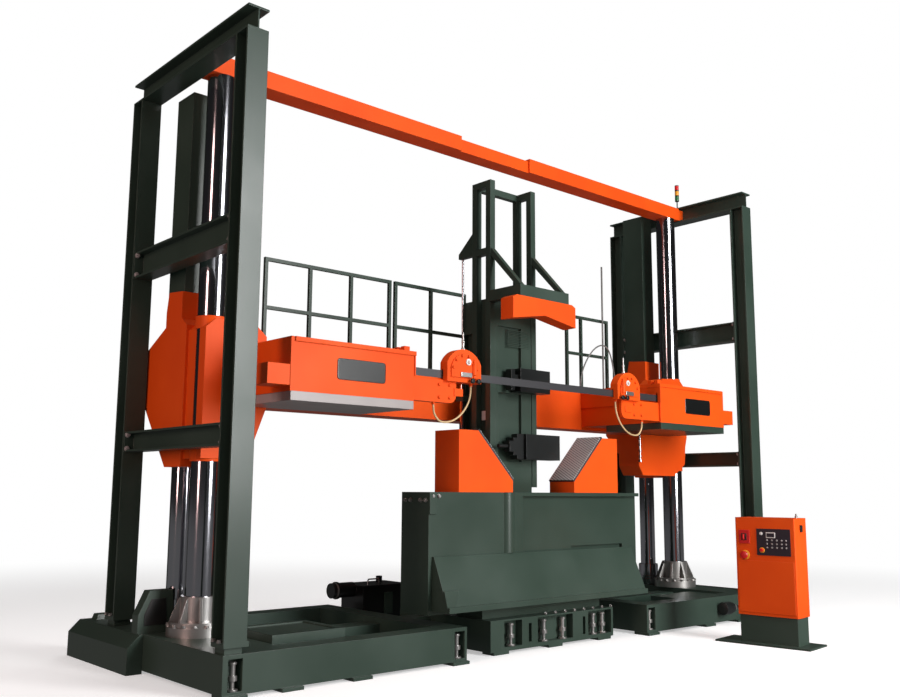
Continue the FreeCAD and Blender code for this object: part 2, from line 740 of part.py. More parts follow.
def strand_outline(radius):
    """Closed racetrack round both wheels, as a face on the blade's lower edge."""
    def point(x, y):
        return FreeCAD.Vector(x, y, blade_low)
    near = wheel_y - radius
    far = wheel_y + radius
    front = Part.makeLine(point(-wheel_x, near), point(wheel_x, near))
    right = Part.Arc(point(wheel_x, near), point(wheel_x + radius, wheel_y), point(wheel_x, far))
    back = Part.makeLine(point(wheel_x, far), point(-wheel_x, far))
    left = Part.Arc(point(-wheel_x, far), point(-wheel_x - radius, wheel_y), point(-wheel_x, near))
    return Part.Face(Part.Wire([front, right.toShape(), back, left.toShape()]))


blade_rise = FreeCAD.Vector(0, 0, blade_width)
outer_strand = strand_outline(wheel_radius + blade_thickness / 2).extrude(blade_rise)
inner_strand = strand_outline(wheel_radius - blade_thickness / 2 + slide_fit).extrude(blade_rise)
save("saw_blade", outer_strand.cut(inner_strand))


# Guardrails on the rear edge of the main beam
def guardrail(x_values):
    """Top rail, middle rail and posts in square tube."""
    half = guardrail_tube / 2
    front = guardrail_y - half
    back = guardrail_y + half
    pieces = [box(x - half, x + half, front, back, beam_high, guardrail_top) for x in x_values]
    for z in (guardrail_top - half, guardrail_middle):
        pieces.append(box(x_values[0] - half, x_values[-1] + half, front, back, z - half, z + half))
    return fused(pieces)


end = carriage_inner
post_places = ((730 - end, 1295 - end, 1850 - end, 2410 - end), (2500 - end, 3055 - end, 3610 - end),
               (end - 1440, end - 1140, end - 568))
panels = [guardrail(places) for places in post_places]
save("guardrails", Part.makeCompound(panels))


# Guide arms: a bar that runs into the cover and the guide block on its end
def guide_arm(outer, length, top, bar_setback):
    """Arm with a rounded end, and a block with an arched crown and a slot for the strand."""
    inner = outer - length
    bar_end = inner + bar_setback

    def point(x, z, y):
        return FreeCAD.Vector(x, y, z)

    cut = bar_corner * (1 - math.sqrt(0.5))
    corner = [point(bar_end + bar_corner, arm_low, arm_front), point(bar_end + cut, arm_low + cut, arm_front),
              point(bar_end, arm_low + bar_corner, arm_front)]
    far_top = point(arm_inner_end, arm_high, arm_front)
    far_low = point(arm_inner_end, arm_low, arm_front)
    near_top = point(bar_end, arm_high, arm_front)
    bar_edge = [Part.Arc(*corner).toShape(), Part.makeLine(corner[2], near_top),
                Part.makeLine(near_top, far_top), Part.makeLine(far_top, far_low), Part.makeLine(far_low, corner[0])]
    bar = Part.Face(Part.Wire(bar_edge)).extrude(FreeCAD.Vector(0, arm_back - arm_front, 0))

    def arched(margin, low, front, back):
        """Straight sides up to the shoulders and one arc over the top."""
        left = inner + margin
        right = outer - margin
        shoulder = top - margin - guide_shoulder
        crown = Part.Arc(point(left, shoulder, front), point((left + right) / 2, top - margin, front),
                         point(right, shoulder, front)).toShape()
        edges = [crown, Part.makeLine(point(right, shoulder, front), point(right, low, front)),
                 Part.makeLine(point(right, low, front), point(left, low, front)),
                 Part.makeLine(point(left, low, front), point(left, shoulder, front))]
        return Part.Face(Part.Wire(edges)).extrude(FreeCAD.Vector(0, back - front, 0))

    block = arched(0, guide_block_low, guide_front, guide_back)
    cap = arched(46, guide_block_low + 46, guide_front - guide_cap, guide_front)
    slot_low = blade_low - strand_slot_height
    slot_high = blade_low + blade_width + strand_slot_height
    slot = box(inner, outer, blade_y - strand_slot, blade_y + strand_slot, slot_low, slot_high)
    return fused([bar, block, cap]).cut(slot)


left_arm = guide_arm(left_guide_outer, left_guide_length, left_guide_top, left_bar_setback)
right_arm = guide_arm(right_guide_outer, right_guide_length, right_guide_top, right_bar_setback)
arm_middle_y = (arm_front + arm_back) / 2
arm_glands = [gland(block_gland_x, arm_middle_y, guide_block_low - gland_length),
              gland(arm_gland_x, arm_middle_y, arm_low - gland_length)]
left_arm = fused([left_arm] + arm_glands)
right_arm = fused([right_arm] + arm_glands)
save("left_guide_arm", mirrored(left_arm))
save("right_guide_arm", right_arm)

# Hoses: straight runs joined by tangent arcs, from gland to gland
def hose(route):
    """Tube along a route of points, each corner rounded as far as its runs allow."""
    points = [FreeCAD.Vector(*p) for p in route]
    edges = []
    start = points[0]
    for before, corner, after in zip(points, points[1:], points[2:]):
        inward = before - corner
        outward = after - corner
        shorter = min(inward.Length, outward.Length)
        half_turn = (math.pi - inward.getAngle(outward)) / 2
        radius = 0.45 * shorter / math.tan(half_turn)
        print("hose arc radius", round(radius))
        inward.normalize()
        outward.normalize()
        entry = corner + inward * (0.45 * shorter)
        leave = corner + outward * (0.45 * shorter)
        bisector = inward + outward
        bisector.normalize()
        reach = radius / math.cos(half_turn) - radius
        edges.append(Part.makeLine(start, entry))
        edges.append(Part.Arc(entry, corner + bisector * reach, leave).toShape())
        start = leave
    edges.append(Part.makeLine(start, points[-1]))
    path = Part.Wire(edges)
    circle = Part.makeCircle(hose_radius, points[0], points[1] - points[0])
    tube = path.makePipeShell([Part.Wire([circle])], True, False)
    print("hose volume share", round(tube.Volume / (math.pi * hose_radius ** 2 * path.Length), 4))
    return tube


arm_route = [(block_gland_x, guide_block_low - gland_length), (1190, 2640), (1240, 2520), (1330, 2420), (1450, 2350),
             (1590, 2335), (1660, 2375), (1700, 2445), (arm_gland_x, arm_low - gland_length)]
right_hose = hose([(x, arm_middle_y, z) for x, z in arm_route])
save("right_arm_hose", right_hose)
save("left_arm_hose", mirrored(right_hose))
beam_gland_top = beam_high + gland_length
beam_route = [(2190, beam_gland_top), (2190, 3180), (2250, 3360), (2370, 3540), (2520, 3680), (2680, 3740),
              (2800, 3700), (2880, 3560), (2920, 3380), (2950, 3220), (2950, beam_gland_top)]
save("beam_hose", hose([(x, beam_hose_y, z) for x, z in beam_route]))

# Signal lamp on the right end frame
lamp_x = frame_x + 38
lamp_low = frame_top
lamp = fused([rod(lamp_x, 0, lamp_low, lamp_low + 14, 34), rod(lamp_x, 0, lamp_low + 14, lamp_low + 150, 9)]
             + [rod(lamp_x, 0, lamp_low + 150 + i * 84, lamp_low + 234 + i * 84, 30) for i in range(3)])
save("signal_lamp", lamp)

# Hydraulic unit behind the machine bed, between the bases
tank_half_length = 310.0
tank_depth = 430.0
tank_x = -930.0
tank_y = 975.0
skid_height = 60.0
tank_height = 500.0
tank_top = skid_height + tank_height
motor_radius = 85.0
motor_length = 300.0
motor_z = tank_top - 40
tank_left = tank_x - tank_half_length
tank_right = tank_x + tank_half_length
tank_front = tank_y - tank_depth / 2
tank_rear = tank_y + tank_depth / 2
tank = box(tank_left, tank_right, tank_front, tank_rear, skid_height, tank_top)
skid = box(10 - base_inner_x, tank_right + 20, tank_front - 20, tank_rear + 20, 0, skid_height)
along = FreeCAD.Vector(1, 0, 0)
motor_start = FreeCAD.Vector(tank_left - motor_length, tank_y + 5, motor_z)
motor = Part.makeCylinder(motor_radius, motor_length, motor_start, along)
motor_rim = Part.makeCylinder(motor_radius + 13, 24, motor_start + along * 60, along)
lid = box(tank_left - 15, tank_right + 15, tank_front - 15, tank_rear + 15, tank_top, tank_top + 14)
breather = rod(tank_right - 140, tank_rear - 90, tank_top + 14, tank_top + 80, 38)
save("hydraulic_unit", fused([tank, motor, motor_rim, skid, lid, breather]))


# Console
def placed(shape):
    """Console pieces are drawn square to the axes and turned as a group."""
    shape.rotate(FreeCAD.Vector(0, 0, 0), FreeCAD.Vector(0, 0, 1), -console_turn)
    shape.translate(FreeCAD.Vector(console_x, console_y, 0))
    return shape


half_w = console_width / 2
half_d = console_depth / 2
shift = console_shift
half_l = console_base_length / 2
half_b = console_base_width / 2
base_plate = box(-half_l, half_l, -half_b, half_b, 0, console_base)
inset = pedestal_inset
pedestal = box(shift - half_w + inset, shift + half_w - inset, -half_d + inset, half_d - inset, console_base,
               console_low)
save("console_stand", placed(fused([base_plate, pedestal])))
cabinet = box(shift - half_w, shift + half_w, -half_d, half_d, console_low, console_high)
upright = [edge for edge in cabinet.Edges if abs(edge.tangentAt(edge.FirstParameter).z) > 0.9]
cabinet = cabinet.makeFillet(console_corner, upright)
door_half = half_w - door_margin
door = box(shift - door_half, shift + door_half, -half_d - door_thickness, -half_d, door_low, door_high)
save("console_cabinet", placed(fused([cabinet, door])))
panel = box(shift + panel_from, shift + panel_to, -half_d - panel_thickness, -half_d, panel_low, panel_high)
save("console_panel", placed(panel))
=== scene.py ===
import json
import math
import bpy
import numpy as np
from mathutils import Matrix, Vector


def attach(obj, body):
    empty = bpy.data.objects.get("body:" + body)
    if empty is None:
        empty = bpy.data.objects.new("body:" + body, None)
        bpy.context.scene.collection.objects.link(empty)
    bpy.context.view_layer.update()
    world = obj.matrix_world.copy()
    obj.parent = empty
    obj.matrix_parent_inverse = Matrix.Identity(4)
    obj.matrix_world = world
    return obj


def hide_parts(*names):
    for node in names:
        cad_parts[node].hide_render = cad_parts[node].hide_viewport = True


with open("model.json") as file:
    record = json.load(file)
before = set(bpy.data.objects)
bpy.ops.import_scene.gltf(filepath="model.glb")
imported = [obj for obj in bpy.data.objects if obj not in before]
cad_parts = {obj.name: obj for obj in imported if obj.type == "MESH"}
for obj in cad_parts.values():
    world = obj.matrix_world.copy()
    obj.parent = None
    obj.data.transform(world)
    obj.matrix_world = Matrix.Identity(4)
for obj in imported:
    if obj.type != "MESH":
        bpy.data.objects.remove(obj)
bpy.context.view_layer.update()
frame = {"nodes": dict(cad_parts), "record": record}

nodes = frame["nodes"]
print("frame loaded:", len(nodes), "nodes")


# camera

cameraFacts = {
    "place": (-7.932, -8.25, 1.65),
    "azimuth": 41.556,   # degrees from +Y towards +X
    "pitch": 8.488,      # degrees up
    "roll": 0.360,       # degrees
    "focalPixels": 955.7,
    "frameWidth": 900,
}


def makeCamera(facts):
    # forward, right and up from azimuth and pitch, then right and up turned by the roll
    a, p, r = (math.radians(facts[k]) for k in ("azimuth", "pitch", "roll"))
    forward = Vector((math.cos(p) * math.sin(a), math.cos(p) * math.cos(a), math.sin(p)))
    right = Vector((math.cos(a), -math.sin(a), 0))
    up = right.cross(forward)
    turnedRight = right * math.cos(r) + up * math.sin(r)
    turnedUp = up * math.cos(r) - right * math.sin(r)
    data = bpy.data.cameras.new("camera")
    data.sensor_width = 36
    data.lens = facts["focalPixels"] / facts["frameWidth"] * 36
    data.clip_end = 200
    camera = bpy.data.objects.new("camera", data)
    bpy.context.collection.objects.link(camera)
    basis = Matrix((turnedRight, turnedUp, -forward)).transposed().to_4x4()
    camera.matrix_world = Matrix.Translation(facts["place"]) @ basis
    bpy.context.scene.camera = camera


makeCamera(cameraFacts)


# hoses: smooth splines through the routes of the CAD tubes

hoseFacts = {"radius": 0.010, "armMiddleY": -0.9715, "armGlandTop": 2.729, "armBarGland": 2.510, "beamY": 0.430,
             "beamGland": 3.074}
armRoute = [(1.190, hoseFacts["armGlandTop"]), (1.190, 2.640), (1.240, 2.520), (1.330, 2.420), (1.450, 2.350),
            (1.590, 2.335), (1.660, 2.375), (1.700, 2.445), (1.700, hoseFacts["armBarGland"])]
beamRoute = [(2.190, hoseFacts["beamGland"]), (2.190, 3.180), (2.250, 3.360), (2.370, 3.540), (2.520, 3.680),
             (2.680, 3.740), (2.800, 3.700), (2.880, 3.560), (2.920, 3.380), (2.950, 3.220),
             (2.950, hoseFacts["beamGland"])]


def makeHose(name, points, node, body):
    # NURBS spline of order 3 with the route's points as control points
    curve = bpy.data.curves.new(name, "CURVE")
    curve.dimensions = "3D"
    curve.bevel_depth = hoseFacts["radius"]
    curve.bevel_resolution = 5
    curve.resolution_u = 14
    curve.use_fill_caps = True
    spline = curve.splines.new("NURBS")
    spline.points.add(len(points) - 1)
    spline.points.foreach_set("co", [c for p in points for c in (*p, 1.0)])
    spline.order_u = 3
    spline.use_endpoint_u = True
    piece = bpy.data.objects.new(name, curve)
    bpy.context.collection.objects.link(piece)
    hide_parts(node)
    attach(piece, body)
    return piece


hoses = [
    makeHose("rightArmHose", [(x, hoseFacts["armMiddleY"], z) for x, z in armRoute], "right_arm_hose", "right_arm"),
    makeHose("leftArmHose", [(-x, hoseFacts["armMiddleY"], z) for x, z in armRoute], "left_arm_hose", "left_arm"),
    makeHose("beamHose", [(x, hoseFacts["beamY"], z) for x, z in beamRoute], "beam_hose", "saw_head"),
]
print("camera and hoses made")


# shared shader groups

def newGroup(name, inputs, outputs):
    group = bpy.data.node_groups.new(name, "ShaderNodeTree")
    for label, kind, value in inputs:
        socket = group.interface.new_socket(name=label, in_out="INPUT", socket_type=kind)
        socket.default_value = value
    for label, kind in outputs:
        group.interface.new_socket(name=label, in_out="OUTPUT", socket_type=kind)
    return group, group.nodes.new("NodeGroupInput"), group.nodes.new("NodeGroupOutput")


def addNode(tree, kind, **settings):
    node = tree.nodes.new(kind)
    for key, value in settings.items():
        if key in node.inputs:
            node.inputs[key].default_value = value
        else:
            setattr(node, key, value)
    return node


def makeEdgeWearAndHighlight():
    # rounded normal from a Bevel node; the edge mask is one minus its dot product with the true normal, broken by
    # noise, and marks edge wear together with a painted edge highlight
    group, source, sink = newGroup(
        "edgeWearAndHighlight",
        [("Radius", "NodeSocketFloat", 0.006), ("Amount", "NodeSocketFloat", 1.0), ("Break Scale", "NodeSocketFloat", 18.0)],
        [("Mask", "NodeSocketFloat"), ("Normal", "NodeSocketVector")])
    link = group.links.new
    bevel = addNode(group, "ShaderNodeBevel", samples=6)
    link(source.outputs["Radius"], bevel.inputs["Radius"])
    geometry = addNode(group, "ShaderNodeNewGeometry")
    dot = addNode(group, "ShaderNodeVectorMath", operation="DOT_PRODUCT")
    link(bevel.outputs["Normal"], dot.inputs[0])
    link(geometry.outputs["Normal"], dot.inputs[1])
    edge = addNode(group, "ShaderNodeMapRange")
    edge.inputs["From Min"].default_value = 0.995
    edge.inputs["From Max"].default_value = 0.80
    link(dot.outputs["Value"], edge.inputs["Value"])
    coords = addNode(group, "ShaderNodeTexCoord")
    noise = addNode(group, "ShaderNodeTexNoise", Detail=4.0, Roughness=0.65)
    link(coords.outputs["Object"], noise.inputs["Vector"])
    link(source.outputs["Break Scale"], noise.inputs["Scale"])
    broken = addNode(group, "ShaderNodeMapRange")
    broken.inputs["From Min"].default_value = 0.38
    broken.inputs["From Max"].default_value = 0.62
    link(noise.outputs["Fac"], broken.inputs["Value"])
    product = addNode(group, "ShaderNodeMath", operation="MULTIPLY")
    link(edge.outputs["Result"], product.inputs[0])
    link(broken.outputs["Result"], product.inputs[1])
    scaled = addNode(group, "ShaderNodeMath", operation="MULTIPLY", use_clamp=True)
    link(product.outputs["Value"], scaled.inputs[0])
    link(source.outputs["Amount"], scaled.inputs[1])
    link(scaled.outputs["Value"], sink.inputs["Mask"])
    link(bevel.outputs["Normal"], sink.inputs["Normal"])
    return group


def makeSurfaceTone():
    # slow cloudy noise shifts the paint's tone, and fine noise gives the sprayed texture's height
    group, source, sink = newGroup(
        "surfaceTone",
        [("Cloud Scale", "NodeSocketFloat", 0.9), ("Grain Scale", "NodeSocketFloat", 90.0), ("Stretch", "NodeSocketFloat", 1.0)],
        [("Cloud", "NodeSocketFloat"), ("Grain", "NodeSocketFloat"), ("Dust", "NodeSocketFloat")])
    link = group.links.new
    coords = addNode(group, "ShaderNodeTexCoord")
    stretch = addNode(group, "ShaderNodeCombineXYZ", X=1.0, Y=1.0)
    link(source.outputs["Stretch"], stretch.inputs["Z"])
    scaled = addNode(group, "ShaderNodeVectorMath", operation="MULTIPLY")
    link(coords.outputs["Object"], scaled.inputs[0])
    link(stretch.outputs["Vector"], scaled.inputs[1])
    cloud = addNode(group, "ShaderNodeTexNoise", Detail=3.0, Roughness=0.55)
    link(scaled.outputs["Vector"], cloud.inputs["Vector"])
    link(source.outputs["Cloud Scale"], cloud.inputs["Scale"])
    grain = addNode(group, "ShaderNodeTexNoise", Detail=2.0, Roughness=0.5)
    link(scaled.outputs["Vector"], grain.inputs["Vector"])
    link(source.outputs["Grain Scale"], grain.inputs["Scale"])
    geometry = addNode(group, "ShaderNodeNewGeometry")
    normal = addNode(group, "ShaderNodeSeparateXYZ")
    link(geometry.outputs["Normal"], normal.inputs["Vector"])
    upward = addNode(group, "ShaderNodeMapRange")
    upward.inputs["From Min"].default_value = 0.75
    upward.inputs["From Max"].default_value = 1.0
    link(normal.outputs["Z"], upward.inputs["Value"])
    dust = addNode(group, "ShaderNodeMath", operation="MULTIPLY")
    link(upward.outputs["Result"], dust.inputs[0])
    link(cloud.outputs["Fac"], dust.inputs[1])
    link(cloud.outputs["Fac"], sink.inputs["Cloud"])
    link(grain.outputs["Fac"], sink.inputs["Grain"])
    link(dust.outputs["Value"], sink.inputs["Dust"])
    return group


edgeWearAndHighlight = makeEdgeWearAndHighlight()
surfaceTone = makeSurfaceTone()


def makeFinish(name, facts):
    # base and second colour mixed by the cloud, dust on what faces up, a lighter colour along the edges that is partly
    # wear and partly a painted edge highlight
    material = bpy.data.materials.new(name)
    material.use_nodes = True
    tree = material.node_tree
    link = tree.links.new
    shader = tree.nodes["Principled BSDF"]
    shader.inputs["Metallic"].default_value = facts.get("metallic", 0.0)
    shader.inputs["Coat Weight"].default_value = facts.get("coat", 0.0)
    shader.inputs["Coat Roughness"].default_value = 0.14
    shader.inputs["Specular IOR Level"].default_value = facts.get("specular", 0.5)
    tone = addNode(tree, "ShaderNodeGroup", node_tree=surfaceTone)
    tone.inputs["Cloud Scale"].default_value = facts.get("cloudScale", 0.9)
    tone.inputs["Grain Scale"].default_value = facts.get("grainScale", 90.0)
    tone.inputs["Stretch"].default_value = facts.get("stretch", 1.0)
    edges = addNode(tree, "ShaderNodeGroup", node_tree=edgeWearAndHighlight)
    edges.inputs["Radius"].default_value = facts.get("edgeRadius", 0.006)
    edges.inputs["Amount"].default_value = facts.get("wearAndHighlightAmount", 0.5)
    cloudRange = addNode(tree, "ShaderNodeMapRange")
    cloudRange.inputs["From Min"].default_value = 0.35
    cloudRange.inputs["From Max"].default_value = 0.65
    link(tone.outputs["Cloud"], cloudRange.inputs["Value"])
    shade = addNode(tree, "ShaderNodeMix", data_type="RGBA")
    shade.inputs["A"].default_value = (*facts["base"], 1)
    shade.inputs["B"].default_value = (*facts["second"], 1)
    link(cloudRange.outputs["Result"], shade.inputs["Factor"])
    dusted = addNode(tree, "ShaderNodeMix", data_type="RGBA")
    dusted.inputs["B"].default_value = (0.30, 0.28, 0.25, 1)
    dustAmount = addNode(tree, "ShaderNodeMath", operation="MULTIPLY")
    dustAmount.inputs[1].default_value = facts.get("dust", 0.2)
    link(tone.outputs["Dust"], dustAmount.inputs[0])
    link(dustAmount.outputs["Value"], dusted.inputs["Factor"])
    link(shade.outputs["Result"], dusted.inputs["A"])
    # edges take the lighter worn colour through the edge mask: edge wear together with a painted edge highlight
    wornAndHighlight = addNode(tree, "ShaderNodeMix", data_type="RGBA")
    wornAndHighlight.inputs["B"].default_value = (*facts["wornAndHighlight"], 1)
    link(edges.outputs["Mask"], wornAndHighlight.inputs["Factor"])
    link(dusted.outputs["Result"], wornAndHighlight.inputs["A"])
    link(wornAndHighlight.outputs["Result"], shader.inputs["Base Color"])
    rough = addNode(tree, "ShaderNodeMapRange")
    spread = facts.get("roughSpread", 0.07)
    rough.inputs["From Min"].default_value = 0.3
    rough.inputs["From Max"].default_value = 0.7
    rough.inputs["To Min"].default_value = max(facts["roughness"] - spread, 0.02)
    rough.inputs["To Max"].default_value = facts["roughness"] + spread
    link(tone.outputs["Cloud"], rough.inputs["Value"])
    link(rough.outputs["Result"], shader.inputs["Roughness"])
    relief = addNode(tree, "ShaderNodeBump", Strength=facts.get("bump", 0.05), Distance=0.002)
    link(tone.outputs["Grain"], relief.inputs["Height"])
    link(edges.outputs["Normal"], relief.inputs["Normal"])
    link(relief.outputs["Normal"], shader.inputs["Normal"])
    return material


# the worn colour in each set of facts is a lighter tone laid along the edges: partly edge wear, partly a painted edge
# highlight
greenFacts = {"base": (0.028, 0.048, 0.036), "second": (0.038, 0.062, 0.048), "wornAndHighlight": (0.10, 0.12, 0.11),
              "roughness": 0.36, "specular": 0.35, "coat": 0.06, "wearAndHighlightAmount": 0.45, "bump": 0.10, "dust": 0.05}
orangeFacts = {"base": (0.82, 0.092, 0.007), "second": (0.74, 0.072, 0.005), "wornAndHighlight": (0.85, 0.20, 0.06),
               "roughness": 0.46, "specular": 0.14, "wearAndHighlightAmount": 0.4, "bump": 0.10, "dust": 0.04}
chromeFacts = {"base": (0.52, 0.52, 0.55), "second": (0.42, 0.42, 0.46), "wornAndHighlight": (0.8, 0.8, 0.8), "roughness": 0.11,
               "metallic": 1.0, "wearAndHighlightAmount": 0.2, "bump": 0.02, "dust": 0.0, "cloudScale": 2.4, "grainScale": 260.0,
               "stretch": 0.06, "roughSpread": 0.05, "edgeRadius": 0.004}
steelFacts = {"base": (0.46, 0.45, 0.44), "second": (0.36, 0.35, 0.335), "wornAndHighlight": (0.75, 0.75, 0.75),
              "roughness": 0.34, "metallic": 0.85, "wearAndHighlightAmount": 0.5, "bump": 0.08, "dust": 0.05, "grainScale": 320.0,
              "edgeRadius": 0.004}
jawSteelFacts = {"base": (0.62, 0.62, 0.62), "second": (0.52, 0.52, 0.52), "wornAndHighlight": (0.85, 0.85, 0.85),
                 "roughness": 0.42, "metallic": 0.25, "wearAndHighlightAmount": 0.6, "bump": 0.08, "dust": 0.0, "grainScale": 320.0,
                 "edgeRadius": 0.003}
# dark steel of the saw blade; on the jaw plates the same dark finish is painted shade in the grooves between the ridges
bladeAndGrooveShadeFacts = {"base": (0.075, 0.075, 0.08), "second": (0.055, 0.055, 0.06), "wornAndHighlight": (0.5, 0.5, 0.5), "roughness": 0.42,
              "metallic": 0.6, "wearAndHighlightAmount": 0.3, "bump": 0.04, "dust": 0.0, "grainScale": 320.0, "edgeRadius": 0.002}
blackFacts = {"base": (0.006, 0.007, 0.007), "second": (0.010, 0.012, 0.012), "wornAndHighlight": (0.07, 0.07, 0.07),
              "roughness": 0.34, "coat": 0.2, "wearAndHighlightAmount": 0.4, "bump": 0.08, "dust": 0.08}
navyFacts = {"base": (0.010, 0.008, 0.016), "second": (0.014, 0.011, 0.022), "wornAndHighlight": (0.05, 0.05, 0.08),
             "roughness": 0.42, "wearAndHighlightAmount": 0.2, "bump": 0.04, "dust": 0.0, "edgeRadius": 0.002}
greyFacts = {"base": (0.36, 0.33, 0.325), "second": (0.30, 0.275, 0.27), "wornAndHighlight": (0.5, 0.5, 0.5), "roughness": 0.42,
             "coat": 0.1, "wearAndHighlightAmount": 0.4, "bump": 0.1, "dust": 0.1}
creamFacts = {"base": (0.62, 0.46, 0.24), "second": (0.50, 0.36, 0.19), "wornAndHighlight": (0.6, 0.55, 0.45), "roughness": 0.5,
              "wearAndHighlightAmount": 0.0, "bump": 0.1, "dust": 0.1, "cloudScale": 4.0, "edgeRadius": 0.001}
greyHoseFacts = {"base": (0.20, 0.20, 0.19), "second": (0.14, 0.14, 0.14), "wornAndHighlight": (0.3, 0.3, 0.3), "roughness": 0.5,
                 "wearAndHighlightAmount": 0.0, "bump": 0.1, "dust": 0.1, "cloudScale": 4.0, "edgeRadius": 0.001}
redFacts = {"base": (0.62, 0.010, 0.010), "second": (0.52, 0.008, 0.008), "wornAndHighlight": (0.8, 0.2, 0.2), "roughness": 0.34,
            "wearAndHighlightAmount": 0.15, "bump": 0.02, "dust": 0.0, "edgeRadius": 0.002}
yellowFacts = {"base": (0.80, 0.36, 0.015), "second": (0.72, 0.30, 0.015), "wornAndHighlight": (0.9, 0.7, 0.3), "roughness": 0.35,
               "wearAndHighlightAmount": 0.15, "bump": 0.02, "dust": 0.0, "edgeRadius": 0.002}
greenLensFacts = {"base": (0.02, 0.16, 0.05), "second": (0.02, 0.12, 0.04), "wornAndHighlight": (0.1, 0.5, 0.2),
                  "roughness": 0.18, "coat": 0.5, "wearAndHighlightAmount": 0.0, "bump": 0.0, "dust": 0.0, "edgeRadius": 0.001}
whiteFacts = {"base": (0.70, 0.70, 0.68), "second": (0.62, 0.62, 0.60), "wornAndHighlight": (0.8, 0.8, 0.8), "roughness": 0.4,
              "wearAndHighlightAmount": 0.1, "bump": 0.02, "dust": 0.0, "edgeRadius": 0.002}

greenPaint = makeFinish("greenPaint", greenFacts)
orangePaint = makeFinish("orangePaint", orangeFacts)
hardChrome = makeFinish("hardChrome", chromeFacts)
machinedSteel = makeFinish("machinedSteel", steelFacts)
jawSteel = makeFinish("jawSteel", jawSteelFacts)
bladeSteelAndGrooveShade = makeFinish("bladeSteelAndGrooveShade", bladeAndGrooveShadeFacts)
blackPaint = makeFinish("blackPaint", blackFacts)
navyPanel = makeFinish("navyPanel", navyFacts)
greyPaint = makeFinish("greyPaint", greyFacts)
creamHose = makeFinish("creamHose", creamFacts)
greyHose = makeFinish("greyHose", greyHoseFacts)
redPlastic = makeFinish("redPlastic", redFacts)
yellowPlastic = makeFinish("yellowPlastic", yellowFacts)
greenLens = makeFinish("greenLens", greenLensFacts)
whitePlastic = makeFinish("whitePlastic", whiteFacts)
print("finishes made")


# finish of every CAD node

finishOf = {
    "green_paint": greenPaint, "orange_paint": orangePaint, "hard_chrome": hardChrome, "bright_steel": machinedSteel,
    "black_paint": blackPaint, "navy_paint": navyPanel, "light_grey_paint": greyPaint, "hose_rubber": creamHose,
}
# the jaw plates take the dark blade finish as painted shade in the grooves between the ridges
ownFinish = {"saw_blade": bladeSteelAndGrooveShade, "signal_lamp": blackPaint, "left_jaw_plate": bladeSteelAndGrooveShade,
             "right_jaw_plate": bladeSteelAndGrooveShade, "cable_pole": greyHose}
slotOf = {part["node"]: part["material_slot"] for part in frame["record"]["subparts"]}
for nodeName, nodeObject in nodes.items():
    finish = ownFinish.get(nodeName, finishOf[slotOf[nodeName]])
    for materialSlot in nodeObject.material_slots:
        materialSlot.material = finish
for hosePiece in hoses:
    hosePiece.data.materials.append(creamHose)
hoses[2].data.materials[0] = greyHose
print("CAD nodes finished")


# mesh helpers: every new piece is a loft through rings of points

def circleRing(radius, count, turn=0.0):
    # points at equal angles round a circle
    angles = np.linspace(0, 2 * np.pi, count, endpoint=False) + turn
    return np.stack([radius * np.cos(angles), radius * np.sin(angles)], axis=1)


def roundedRing(width, height, corner, perCorner=4):
    # four quarter circles of the corner radius, one in each corner of the rectangle
    quarter = np.linspace(0, np.pi / 2, perCorner)
    angles = (quarter[None, :] + np.arange(4)[:, None] * np.pi / 2).ravel()
    signs = np.repeat(np.array([(1, 1), (-1, 1), (-1, -1), (1, -1)]), perCorner, axis=0)
    centre = signs * np.array([width / 2 - corner, height / 2 - corner])
    return centre + corner * np.stack([np.cos(angles), np.sin(angles)], axis=1)


def raise_(ring, levels):
    # ring scaled and lifted: one copy for each (scale, height) pair
    scales = np.array([s for s, h in levels])[:, None, None]
    heights = np.array([h for s, h in levels])
    flat = ring[None] * scales
    height = np.broadcast_to(heights[:, None, None], (*flat.shape[:2], 1))
    return np.concatenate([flat, height], axis=2)


def insetLevels(size, depth, bevel):
    # plate profile: bottom edge, wall, rounded top edge
    small = (size - 2 * bevel) / size
    return [(1.0, 0.0), (1.0, depth - bevel), ((1 + small) / 2, depth - 0.3 * bevel), (small, depth)]


def loftPiece(name, rings, places, body, finish, smooth=False):
    # quads between neighbouring rings and one face over each end; the whole set is repeated at each placement
    levels, count = rings.shape[:2]
    points = rings.reshape(-1, 3)
    places = np.asarray(places, float).reshape(-1, 4, 4)
    placed = np.einsum("mij,pj->mpi", places[:, :3, :3], points) + places[:, None, :3, 3]
    i = np.arange(levels - 1)[:, None] * count
    j = np.arange(count)[None, :]
    following = (j + 1) % count
    quads = np.stack([i + j, i + following, i + count + following, i + count + j], axis=-1).reshape(-1, 4)
    offsets = np.arange(len(places)) * len(points)
    allQuads = (quads[None] + offsets[:, None, None]).reshape(-1, 4).tolist()
    bottoms = (np.arange(count)[::-1][None] + offsets[:, None]).tolist()
    tops = (np.arange(count)[None] + (levels - 1) * count + offsets[:, None]).tolist()
    mesh = bpy.data.meshes.new(name)
    mesh.from_pydata(placed.reshape(-1, 3).tolist(), [], allQuads + bottoms + tops)
    if smooth:
        flags = np.zeros(len(mesh.polygons), bool)
        flags[:len(allQuads)] = True
        mesh.polygons.foreach_set("use_smooth", flags)
        mesh.set_sharp_from_angle(angle=math.radians(32))
    mesh.update()
    mesh.materials.append(finish)
    piece = bpy.data.objects.new(name, mesh)
    bpy.context.collection.objects.link(piece)
    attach(piece, body)
    return piece


def turnedPiece(name, places, levels, body, finish, sides=20):
    # radius and height pairs turned round each placement's axis
    return loftPiece(name, raise_(circleRing(1.0, sides), levels), places, body, finish, smooth=True)


